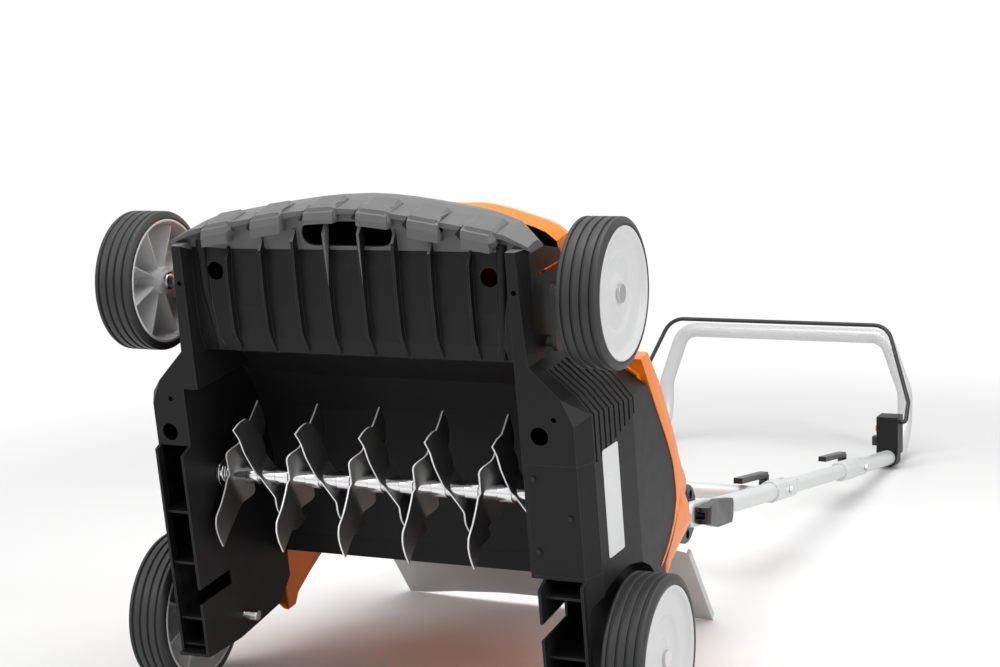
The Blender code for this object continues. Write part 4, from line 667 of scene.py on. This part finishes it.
# Blades and their shaft
# Half outlines (u along the arm, v across, corner radius) of the two alternating blade shapes
FIRST_ARM = ((-0.0020, 0.0385, 0.006), (0.0308, 0.0388, 0.010), (0.0560, 0.0400, 0.008),
             (0.0715, 0.0420, 0.001), (0.0690, 0.0250, 0.006), (0.0640, 0.0130, 0.006),
             (0.0564, 0.0066, 0.003), (0.0400, 0.0050, 0.010), (0.0215, -0.0010, 0.004),
             (0.0090, -0.0068, 0.002))
NEXT_ARM = ((0.0105, -0.0200, 0.004), (0.0233, -0.0288, 0.008), (0.0552, -0.0285, 0.006),
            (0.0700, -0.0265, 0.007), (0.0790, -0.0135, 0.006), (0.0831, 0.0000, 0.0006),
            (0.0670, 0.0000, 0.006), (0.0500, 0.0050, 0.010), (0.0277, 0.0069, 0.006),
            (0.0088, 0.0080, 0.002))


def blade_flank(arm):
    """Whole outline of a double blade: the arm and its half turn."""
    return soften(list(arm) + [(-u, -v, r) for u, v, r in arm], steps=4)


def make_blade(k):
    """Double blade number k: creased on both sides of the shaft, with a bright rim that is ground steel
    lightened as painted highlight.
    """
    bm = bmesh.new()
    outline = blade_flank(NEXT_ARM if k % 2 else FIRST_ARM)
    low = bm.faces.new([bm.verts.new((-BLADE_T / 2, u, v)) for u, v in outline])
    grown = bmesh.ops.extrude_face_region(bm, geom=[low])
    top = [g for g in grown["geom"] if isinstance(g, bmesh.types.BMVert)]
    bmesh.ops.translate(bm, verts=top, vec=(BLADE_T, 0, 0))
    for fold in CREASE_LINES:
        everything = list(bm.verts) + list(bm.edges) + list(bm.faces)
        bmesh.ops.bisect_plane(bm, geom=everything, dist=1e-6, plane_co=(0, fold * BLADE_CREASE, 0),
                               plane_no=(0, 1, 0))
    bmesh.ops.recalc_face_normals(bm, faces=bm.faces)
    # The side faces get the pale edge colour: ground steel and a painted highlight.
    for face in bm.faces:
        face.material_index = 1 if abs(face.normal.x) < 0.5 else 0
    for vert in bm.verts:
        across = abs(vert.co.y) / BLADE_CREASE
        lean = 1.0 if across > CREASE_END else min(CREASE_MOST, across)
        vert.co.x -= BLADE_OFFSET * math.copysign(lean, vert.co.y)
    spin = Matrix.Rotation(NEXT_ARM_ANGLE if k % 2 else FIRST_ARM_ANGLE, 4, "X")
    x = BLADE_FIRST_X + BLADE_PITCH * k
    bmesh.ops.transform(bm, matrix=STANCE @ Matrix.Translation((x, SHAFT_Y, SHAFT_Z)) @ spin, verts=bm.verts)
    blade = made_object(f"ground_blade_{k + 1:02d}", bm, ["blade_steel", "ground_edge_and_highlight"], 30)
    fit(blade, "blade_rotor", "blade_steel", f"double_blade_{k + 1:02d}")


def make_shaft():
    """Bright shaft with spacer sleeves, the collar at its left end and the belt pulley."""
    left = CHAMBER_LEFT_X - SHAFT_STUB
    flange = CHAMBER_LEFT_X + 0.0010
    neck = CHAMBER_LEFT_X + 0.0040
    corners = [(left, AXIS_R, 0), (left, SHAFT_R, 0.0005), (flange, SHAFT_R, 0),
               (flange, FLANGE_R, 0.0006), (flange + FLANGE_W, FLANGE_R, 0.0006),
               (neck, NECK_R, 0.0008), (neck + NECK_W, NECK_R, 0.0008), (neck + NECK_W + 0.0005, SHAFT_R, 0)]
    for k in range(BLADES - 1):
        x = BLADE_FIRST_X + BLADE_PITCH * k
        x0 = x + BLADE_OFFSET + SLEEVE_GAP
        x1 = x + BLADE_PITCH - BLADE_OFFSET - SLEEVE_GAP
        corners += [(x0, SHAFT_R, 0), (x0, SLEEVE_R, 0.0008), (x1, SLEEVE_R, 0.0008), (x1, SHAFT_R, 0)]
    x0 = PULLEY_X
    x1 = PULLEY_X + PULLEY_W
    corners += [(x0, SHAFT_R, 0), (x0, PULLEY_LIP_R, 0.0005), (x0 + PULLEY_LIP_W, PULLEY_LIP_R, 0.0003),
                (x0 + PULLEY_LIP_W, PULLEY_R, 0.0003), (x1 - PULLEY_LIP_W, PULLEY_R, 0.0003),
                (x1 - PULLEY_LIP_W, PULLEY_LIP_R, 0.0003), (x1, PULLEY_LIP_R, 0.0005), (x1, AXIS_R, 0)]
    bm = bmesh.new()
    lathe(bm, soften(corners, steps=3), own(0, SHAFT_Y, SHAFT_Z), 48)
    shaft = made_object("bright_blade_shaft", bm, ["shaft_chrome"], 40)
    fit(shaft, "blade_rotor", "shaft_chrome", "blade_shaft")


# Handle
def tongue(bm, x, s, front):
    """Flat plate at a fold, rounded at both ends."""
    outline = []
    for k in range(ROUND_STEPS + 1):
        a = math.pi / 2 + math.pi * k / ROUND_STEPS
        outline.append((s + TONGUE_REAR_R * math.cos(a), TONGUE_REAR_R * math.sin(a)))
    for k in range(ROUND_STEPS + 1):
        a = -math.pi / 2 + math.pi * k / ROUND_STEPS
        tip = s + front + TONGUE_REACH
        outline.append((tip + TONGUE_FRONT_R * math.cos(a), TONGUE_FRONT_R * math.sin(a)))
    skin(bm, [[leg(x + dx, u, v) for u, v in outline] for dx in (-TONGUE_T / 2, TONGUE_T / 2)])


def flattened_leg(bm, x):
    """Lower leg: a flat rounded eye at the pivot that swells into the round tube."""
    sides = 32
    steps = 6
    rows = []
    for k in range(steps + 1):
        s = -EYE_HALF_W * math.cos(k / steps * math.pi / 2)
        rows.append((s, EYE_HALF_T, max(0.0012, math.sqrt(max(0.0, EYE_HALF_W ** 2 - s ** 2)))))
    rows += [(0.0200, EYE_HALF_T, EYE_HALF_W), (FLAT_END, EYE_HALF_T, EYE_HALF_W - 0.0002)]
    for k in range(1, steps + 1):
        t = k / steps
        ease = t * t * (3 - 2 * t)
        rows.append((FLAT_END + SWELL * t, EYE_HALF_T + (LOWER_R - EYE_HALF_T) * ease,
                     EYE_HALF_W + (LOWER_R - EYE_HALF_W) * ease))
    rows.append((FOLD_1 - TUBE_END, LOWER_R, LOWER_R))
    rings = []
    for s, rx, rv in rows:
        power = SQUARE_POWER + (1 - SQUARE_POWER) * min(1.0, max(0.0, (s - FLAT_END) / SWELL))
        ring = []
        for i in range(sides):
            a = TAU * i / sides
            cx = math.copysign(abs(math.cos(a)) ** power, math.cos(a))
            cv = math.copysign(abs(math.sin(a)) ** power, math.sin(a))
            ring.append(leg(x + rx * cx, s, rv * cv))
        rings.append(ring)
    skin(bm, rings)


def make_lower_bar():
    """Both lower legs and the cross tube between them."""
    bm = bmesh.new()
    for side in (1, -1):
        flattened_leg(bm, side * LEG_X)
    bar = made_object("lower_handle_tube", bm, ["tube_paint"])
    ends = [leg(-LEG_X + JOINT_GAP, CROSS_S), leg(LEG_X - JOINT_GAP, CROSS_S)]
    cross = tube("cross_tube", ends, CROSS_R, "tube_paint")
    absorb(bar, cross)
    fit(bar, "lower_handle", "tube_paint", "lower_handle_bar")


def make_middle_tubes():
    """The two tubes between the folds, each with its tongue."""
    for side, word in ((1, "right"), (-1, "left")):
        x = side * LEG_X
        bm = bmesh.new()
        tongue(bm, x, FOLD_1, FOLD_1_FRONT)
        piece = made_object(f"middle_handle_tube_{word}", bm, ["tube_paint"])
        ends = [leg(x, FOLD_1 + FOLD_1_FRONT + JOINT_GAP), leg(x, FOLD_2 - TUBE_END)]
        straight = tube("straight", ends, MIDDLE_R, "tube_paint")
        absorb(piece, straight)
        fit(piece, "middle_handle", "tube_paint", f"middle_tube_{word}")


def loop_corners():
    """Corners of the loop: along the leg, up at the end, in to the grip and back."""
    begin = leg(LEG_X, FOLD_2 + FOLD_2_FRONT + JOINT_GAP)
    further = leg(LEG_X, 1.0)
    grade = (further.z - begin.z) / (further.y - begin.y)
    end_y = LOOP_Y + AXLE.y
    corner = Vector((LEG_X, end_y, begin.z + grade * (end_y - begin.y)))
    half = [begin, corner, Vector((LEG_X, end_y, LOOP_KINK_Z)), Vector((LOOP_GRIP_X, end_y, LOOP_GRIP_Z))]
    return half + [Vector((-p.x, p.y, p.z)) for p in half[::-1]]


def make_loop():
    """The upper handle's bent tube with its two tongues."""
    points = bend_path(loop_corners(), LOOP_BENDS)
    loop = tube("upper_handle_tube", points, LOOP_R, "tube_paint", 40)
    bm = bmesh.new()
    for side in (1, -1):
        tongue(bm, side * LEG_X, FOLD_2, FOLD_2_FRONT)
    absorb(loop, made_object("tongues", bm, ["tube_paint"]))
    fit(loop, "upper_handle", "tube_paint", "upper_handle_loop")


def make_bail():
    """The squeezed wire bail in front of the grip."""
    ring = leg(0, RING_S)
    y = ring.y + BAIL_HUB[0]
    z = ring.z + BAIL_HUB[1]
    outer = LEG_X + BAIL_HUB_REACH
    grip = Vector((LOOP_GRIP_X, LOOP_Y + AXLE.y, LOOP_GRIP_Z)) + Vector(BAIL_GRIP)
    half = [Vector((LEG_X + 0.0030, y, z)), Vector((outer, y, z)),
            Vector((outer, y + BAIL_ELBOW[0], z + BAIL_ELBOW[1])), grip]
    corners = half + [Vector((-p.x, p.y, p.z)) for p in half[::-1]]
    points = bend_path(corners, BAIL_BENDS)
    bail = tube("wire_bail", points, BAIL_R, "lever_plastic", 20)
    fit(bail, "switch_bail", "lever_plastic", "bail")


# Housing and hood
NOSE_Y = -0.4900
NOSE_REAR_Y = -0.4425
NOSE_END_X = 0.2065
NOSE_LOW_Z = -0.0700
NOSE_BOW = 0.19
NOSE_FLAT_X = 0.060
NOSE_CORNER_X = 0.185
NOSE_CORNER_SLOPE = 0.4
GRILLE_Z = -0.0440
TREADS = ((-0.1640, -0.1330), (-0.1030, -0.0680), (-0.0390, -0.0050), (0.0220, 0.0560), (0.0790, 0.1120),
          (0.1370, 0.1670))
TREAD_WRAP = ((-0.0012, -0.0300), (-0.0012, -0.0440), (0.0055, -0.0570), (0.0120, -0.0590))
TREAD_LOW_Z = -0.0590
TREAD_DEPTH = 0.0150
TREAD_EXTRA = 0.0080
TREAD_FULL_X = 0.0900
# Painted shadow: size and place of the thin black wedge beside each tread block.
SHADOW_WEDGE_W = 0.0080
SHADOW_WEDGE_TOP_Z = -0.0310
SHADOW_WEDGE_LOW_Z = -0.0530
SHADOW_WEDGE_T = 0.0006
HOOD_EDGE = ((0.0, 0.1020), (0.1200, 0.1005), (0.1900, 0.0950), (0.2047, 0.0810))
HOOD_FRONT_Y = -0.4300
HOOD_CORNER_X = 0.1200
HOOD_CORNER_W = 0.0800
HOOD_CORNER_BACK = 0.0120
HOOD_INSIDE_X = 0.1900
HOOD_INSIDE_Y = -0.3800
BROW = ((0.0, -0.4740), (0.0911, -0.4714), (0.1178, -0.4716), (0.1443, -0.4659), (0.1749, -0.4566),
        (0.1902, -0.4517), (0.2018, -0.4430), (0.2047, -0.4401))
BROW_FACE = ((0.0020, 0.0240), (0.0, 0.0500), (0.0030, 0.0620), (0.0140, 0.0760))
BROW_LOW_Z = 0.0300
BROW_STATIONS = 36
SILL = ((-0.3020, 0.0708), (-0.2785, 0.0845), (-0.2351, 0.1088), (-0.1979, 0.1307), (-0.1614, 0.1485),
        (-0.1221, 0.1532), (-0.0987, 0.1419), (-0.0770, 0.1183), (-0.0634, 0.0919))
CROWN = ((-0.2934, 0.1254), (-0.2450, 0.1592), (-0.1804, 0.1915), (-0.1359, 0.2090), (-0.1168, 0.2230),
         (-0.1026, 0.2184), (-0.0878, 0.2056), (-0.0488, 0.1781), (-0.0452, 0.1522), (-0.0375, 0.1360))
SILL_X = 0.2690
SILL_LIP = 0.0015
SILL_RISE = 0.0150
CROWN_X = 0.2560
CROWN_LEDGE = 0.0120
CROWN_RISE = 0.0020
SIDE_RIM_T = 0.0140
SIDE_RIM_STEPS = 24
BEAD = ((-0.1745, -0.4500, -0.0440), (-0.1718, -0.3959, -0.0460), (-0.1650, -0.3315, -0.0400))
BEAD_R = 0.0055


def nose_front(x):
    """Front line of the bowed nose."""
    bow = NOSE_BOW * (math.sqrt(x * x + NOSE_FLAT_X ** 2) - NOSE_FLAT_X)
    return NOSE_Y + bow + NOSE_CORNER_SLOPE * max(0.0, abs(x) - NOSE_CORNER_X)


def nose_section(x, depth):
    """Outline of a tread's wrap round the nose's lower edge."""
    front = nose_front(x)
    under = ((depth, TREAD_LOW_Z), (depth, GRILLE_Z), (0.0080, GRILLE_Z), (0.0040, -0.0300))
    return [own(x, front + back, z) for back, z in TREAD_WRAP + under]


def make_nose_treads():
    """Raised tread blocks, and at the left of each a thin black wedge as painted shadow of the block's side.
    """
    bm = bmesh.new()
    steps = 4
    for x0, x1 in TREADS:
        middle = (x0 + x1) / 2
        depth = TREAD_DEPTH + TREAD_EXTRA * min(1.0, abs(middle) / TREAD_FULL_X)
        skin(bm, [nose_section(x0 + (x1 - x0) * k / steps, depth) for k in range(steps + 1)])
        # Painted shadow: a thin black wedge laid on the nose beside the block, where its side is in shade.
        side = x0 + 0.0004
        front = nose_front(x0)
        shadow_wedge = [own(side, front - 0.0008, SHADOW_WEDGE_TOP_Z), own(side, front + 0.0020, SHADOW_WEDGE_LOW_Z),
                 own(side, front + depth - 0.0030, SHADOW_WEDGE_LOW_Z),
                 own(x0 - SHADOW_WEDGE_W, nose_front(x0 - SHADOW_WEDGE_W) + 0.0120, SHADOW_WEDGE_LOW_Z)]
        skin(bm, [shadow_wedge, [p - LEG_UP * SHADOW_WEDGE_T for p in shadow_wedge]], paint=1)
    return made_object("nose_treads", bm, ["nose_painted_light", "black_plastic"], 0)


def nose_share(place):
    """Whether a place in the machine's own axes lies on the nose, which is painted a lighter grey as painted
    light from above.
    """
    return place.y < NOSE_REAR_Y + 0.0008 and abs(place.x) < NOSE_END_X + 0.001 and place.z > NOSE_LOW_Z


def make_housing():
    """The housing's moulding with its nose in a lighter grey as painted light from above, its tread blocks
    and the bead beside the fins.
    """
    bm = bmesh.new()
    bm.from_mesh(NODES["lower_housing"].data)
    bmesh.ops.remove_doubles(bm, verts=bm.verts, dist=1e-5)
    back = STANCE.inverted()
    # Painted light: the nose faces get the lighter grey.
    for face in bm.faces:
        face.material_index = 1 if nose_share(back @ face.calc_center_median()) else 0
    housing = made_object("finished_housing", bm, ["black_plastic", "nose_painted_light"], 0)
    bead = [[own(side * x, y, z) for x, y, z in BEAD] for side in (-1, 1)]
    absorb(housing, make_nose_treads(), *[tube("bead", line, BEAD_R, "black_plastic", 16) for line in bead])
    fit(housing, "chassis", "black_plastic", "lower_housing")


def along(line, share):
    """Point at a share of the length of a line of points."""
    points = [Vector(p) for p in line]
    lengths = [(b - a).length for a, b in zip(points, points[1:])]
    left = share * sum(lengths)
    for a, b, length in zip(points, points[1:], lengths):
        if left <= length:
            return a.lerp(b, left / length)
        left -= length
    return points[-1]


def level(line, x):
    """Value of a line of (distance from the middle, value) points at x."""
    return next(a[1] + (b[1] - a[1]) * (abs(x) - a[0]) / (b[0] - a[0]) for a, b in zip(line, line[1:])
                if abs(x) <= b[0] + 1e-6)


def hood_front(x):
    """Where the hood's own front wall stands, behind its brow."""
    corner = max(0.0, min(1.0, (abs(x) - HOOD_CORNER_X) / HOOD_CORNER_W))
    return HOOD_FRONT_Y + HOOD_CORNER_BACK * corner


def set_back_front(bm):
    """Flatten the hood's front wall behind the brow and blacken what faces the inside there."""
    back = STANCE.inverted()
    turn_back = back.to_3x3()
    for vert in bm.verts:
        place = back @ vert.co
        wall = hood_front(place.x)
        if place.y < wall:
            place.y = wall
            vert.co = STANCE @ place
    bm.normal_update()
    for face in bm.faces:
        place = back @ face.calc_center_median()
        inner = (turn_back @ face.normal).z < -0.05 or place.y < hood_front(place.x) + 0.0010
        near = place.y < HOOD_INSIDE_Y and abs(place.x) < HOOD_INSIDE_X
        face.material_index = 1 if inner and near else 0


def add_brow(bm):
    """Raised brow behind the nose, from its lower lip up to the hood's edge."""
    rings = []
    for k in range(BROW_STATIONS + 1):
        x = BROW[-1][0] * (2 * k / BROW_STATIONS - 1)
        front = level(BROW, x)
        wall = hood_front(x)
        edge = level(HOOD_EDGE, x)
        ring = [(front + out, z) for out, z in BROW_FACE]
        ring += [(wall - 0.0004, edge), (wall + 0.0020, edge - 0.0010), (wall + 0.0020, BROW_LOW_Z)]
        rings.append([own(x, y, z) for y, z in ring])
    sides = len(rings[0])
    for number, face in enumerate(skin(bm, rings)):
        face.material_index = 1 if number % sides >= sides - 2 else 0


def add_side_rims(bm):
    """Raised rim above each side wall, between the sill and the crown line."""
    for side in (1, -1):
        rows = []
        for k in range(SIDE_RIM_STEPS + 1):
            low = along(SILL, k / SIDE_RIM_STEPS)
            high = along(CROWN, k / SIDE_RIM_STEPS)
            rows.append([own(side * SILL_X, *low), own(side * (SILL_X - SILL_LIP), low.x, low.y + SILL_RISE),
                         own(side * CROWN_X, *high),
                         own(side * (CROWN_X - CROWN_LEDGE), high.x, high.y + CROWN_RISE),
                         own(side * (CROWN_X - SIDE_RIM_T), *low)])
        skin(bm, rows)


def make_hood():
    """Orange hood with its brow behind the nose and the raised rims above the side walls."""
    bm = bmesh.new()
    bm.from_mesh(NODES["top_cover"].data)
    bmesh.ops.remove_doubles(bm, verts=bm.verts, dist=1e-5)
    set_back_front(bm)
    add_brow(bm)
    add_side_rims(bm)
    hood = made_object("finished_hood", bm, ["orange_plastic", "black_plastic"], 28)
    fit(hood, "chassis", "orange_plastic", "top_cover")


# Small parts
LABEL_Y = (-0.2360, -0.1200)
LABEL_Z = (-0.0305, 0.0030)
LABEL_CORNER = 0.003
LABEL_LIFTS = (0.00005, 0.00030)
WALL_LOW = (0.2575, -0.0460)
WALL_HIGH = (0.2680, 0.0400)


def make_label():
    """Blank pale label on the right side wall, which leans outwards from WALL_LOW to WALL_HIGH (x, z)."""
    lean = (WALL_HIGH[0] - WALL_LOW[0]) / (WALL_HIGH[1] - WALL_LOW[1])
    corners = [(y, z, LABEL_CORNER) for y, z in ((LABEL_Y[0], LABEL_Z[0]), (LABEL_Y[1], LABEL_Z[0]),
                                                 (LABEL_Y[1], LABEL_Z[1]), (LABEL_Y[0], LABEL_Z[1]))]
    rings = []
    for lift in LABEL_LIFTS:
        rings.append([own(WALL_LOW[0] + lean * (z - WALL_LOW[1]) + lift, y, z) for y, z in soften(corners)])
    bm = bmesh.new()
    skin(bm, rings)
    label = made_object("blank_side_label", bm, ["label"])
    fit(label, "chassis", "label")


INNER_PAINTS = {"motor_casing": "motor_paint", "motor_shaft_pulley": "steel", "drive_belt": "rubber",
                "shaft_bearing_left": "steel", "shaft_bearing_right": "steel", "flap_hinge_pin": "steel"}
SOFT = 0.0008
SOFTER = 0.0016
CRISP = 0.0004
CRISPER = 0.0003


def dress_cad():
    """Finishes for the CAD nodes that stay, and softened copies of the small mouldings."""
    for node, paint in INNER_PAINTS.items():
        NODES[node].data.materials.clear()
        NODES[node].data.materials.append(PAINTS[paint])
    for node in ("switch_box", "bail_bracket"):
        rounded_copy(node, "black_plastic", SOFTER, 3)
    rounded_copy("belt_cover", "black_plastic", 0.0)
    rounded_copy("lock_button", "orange_plastic", SOFT, 3)
    rounded_copy("power_inlet", "lever_plastic", SOFT)
    rounded_copy("rear_flap", "flap_grey")
    crank = rounded_copy("front_crank_axle", "motor_paint", 0.0)
    crank.data.materials.append(PAINTS["steel"])
    for face in crank.data.polygons:
        face.material_index = 1 if abs(face.center.x) > STUB_FROM_X else 0
    for side in ("left", "right"):
        rounded_copy(f"pivot_bracket_{side}", "lever_plastic", SOFT)
        rounded_copy(f"pivot_lever_{side}", "lever_plastic", SOFT)
        rounded_copy(f"rear_axle_{side}", "steel", CRISP)
        for number in (1, 2):
            rounded_copy(f"fold_lever_{number}_{side}", "lever_plastic", SOFT)
            rounded_copy(f"fold_sleeve_{number}_{side}", "tube_paint")
            rounded_copy(f"fold_bolt_{number}_{side}", "steel", CRISPER)
    for number in (1, 2, 3):
        rounded_copy(f"cover_screw_{number}", "black_oxide", CRISP)


# Studio
FLOOR_HALF = 30.0
FLOOR_Z = -0.0002
FLOOR_SHADE = 0.86
FADE_FROM = 0.9
FADE_TO = 1.7
WORLD_LEVEL = 0.42


def make_floor():
    """Pale floor that keeps the shadow and meets the white background."""
    bm = bmesh.new()
    corners = ((-1, -1), (1, -1), (1, 1), (-1, 1))
    bm.faces.new([bm.verts.new((x * FLOOR_HALF, y * FLOOR_HALF, FLOOR_Z)) for x, y in corners])
    mesh = bpy.data.meshes.new("studio_floor")
    bm.to_mesh(mesh)
    bm.free()
    floor = bpy.data.objects.new("studio_floor", mesh)
    bpy.context.scene.collection.objects.link(floor)
    mat = bpy.data.materials.new("matte_white_floor")
    mat.use_nodes = True
    tree = mat.node_tree
    tree.nodes.clear()
    rays = tree.nodes.new("ShaderNodeLightPath")
    paper = tree.nodes.new("ShaderNodeBsdfDiffuse")
    paper.inputs["Color"].default_value = (FLOOR_SHADE, FLOOR_SHADE, FLOOR_SHADE, 1)
    glow = tree.nodes.new("ShaderNodeEmission")
    place = tree.nodes.new("ShaderNodeTexCoord")
    reach = tree.nodes.new("ShaderNodeVectorMath")
    reach.operation = "LENGTH"
    fade = tree.nodes.new("ShaderNodeMapRange")
    fade.interpolation_type = "SMOOTHSTEP"
    fade.inputs["From Min"].default_value = FADE_FROM
    fade.inputs["From Max"].default_value = FADE_TO
    seen = tree.nodes.new("ShaderNodeMath")
    seen.operation = "MULTIPLY"
    both = tree.nodes.new("ShaderNodeMixShader")
    out = tree.nodes.new("ShaderNodeOutputMaterial")
    wire(tree, place, "Object", reach, 0)
    wire(tree, reach, "Value", fade, "Value")
    wire(tree, fade, "Result", seen, 0)
    wire(tree, rays, "Is Camera Ray", seen, 1)
    tree.links.new(seen.outputs[0], both.inputs[0])
    tree.links.new(paper.outputs[0], both.inputs[1])
    tree.links.new(glow.outputs[0], both.inputs[2])
    tree.links.new(both.outputs[0], out.inputs["Surface"])
    mesh.materials.append(mat)


def make_world():
    """Even studio light; camera, mirror and glass rays see plain white."""
    world = bpy.data.worlds.new("white_studio")
    bpy.context.scene.world = world
    world.use_nodes = True
    tree = world.node_tree
    back = tree.nodes["Background"]
    back.inputs["Color"].default_value = (1, 1, 1, 1)
    rays = tree.nodes.new("ShaderNodeLightPath")
    seen = tree.nodes.new("ShaderNodeMath")
    seen.operation = "MAXIMUM"
    strength = tree.nodes.new("ShaderNodeMapRange")
    strength.inputs["To Min"].default_value = WORLD_LEVEL
    strength.inputs["To Max"].default_value = 1.0
    mirrored = tree.nodes.new("ShaderNodeMath")
    mirrored.operation = "MAXIMUM"
    wire(tree, rays, "Is Glossy Ray", mirrored, 0)
    wire(tree, rays, "Is Transmission Ray", mirrored, 1)
    wire(tree, rays, "Is Camera Ray", seen, 0)
    wire(tree, mirrored, "Value", seen, 1)
    wire(tree, seen, "Value", strength, "Value")
    wire(tree, strength, "Result", back, "Strength")


def lamp(name, place, target, size, energy):
    """A softbox that looks at its target."""
    data = bpy.data.lights.new(name, "AREA")
    data.shape = "RECTANGLE"
    data.size, data.size_y = size
    data.energy = energy
    obj = bpy.data.objects.new(name, data)
    bpy.context.scene.collection.objects.link(obj)
    obj.location = place
    obj.rotation_euler = (Vector(target) - Vector(place)).to_track_quat("-Z", "Y").to_euler()


def make_lamps():
    """Main light overhead, a fill from the left and a strip from the right."""
    lamp("overhead_softbox", (0.2, -0.7, 2.7), (0.0, -0.5, 0.2), (2.6, 2.2), 64)
    lamp("left_softbox", (-2.3, -2.6, 2.0), (0.0, -0.6, 0.3), (1.4, 1.6), 22)
    lamp("right_strip", (2.6, -1.3, 1.6), (0.1, -0.5, 0.3), (0.7, 1.8), 30)


make_wheels()
make_axle_collars()
for number in range(BLADES):
    make_blade(number)
make_shaft()
make_lower_bar()
make_middle_tubes()
make_loop()
make_bail()
make_housing()
make_hood()
make_label()
dress_cad()
make_floor()
make_world()
make_lamps()
place_camera()
bpy.context.scene.view_settings.view_transform = "Standard"
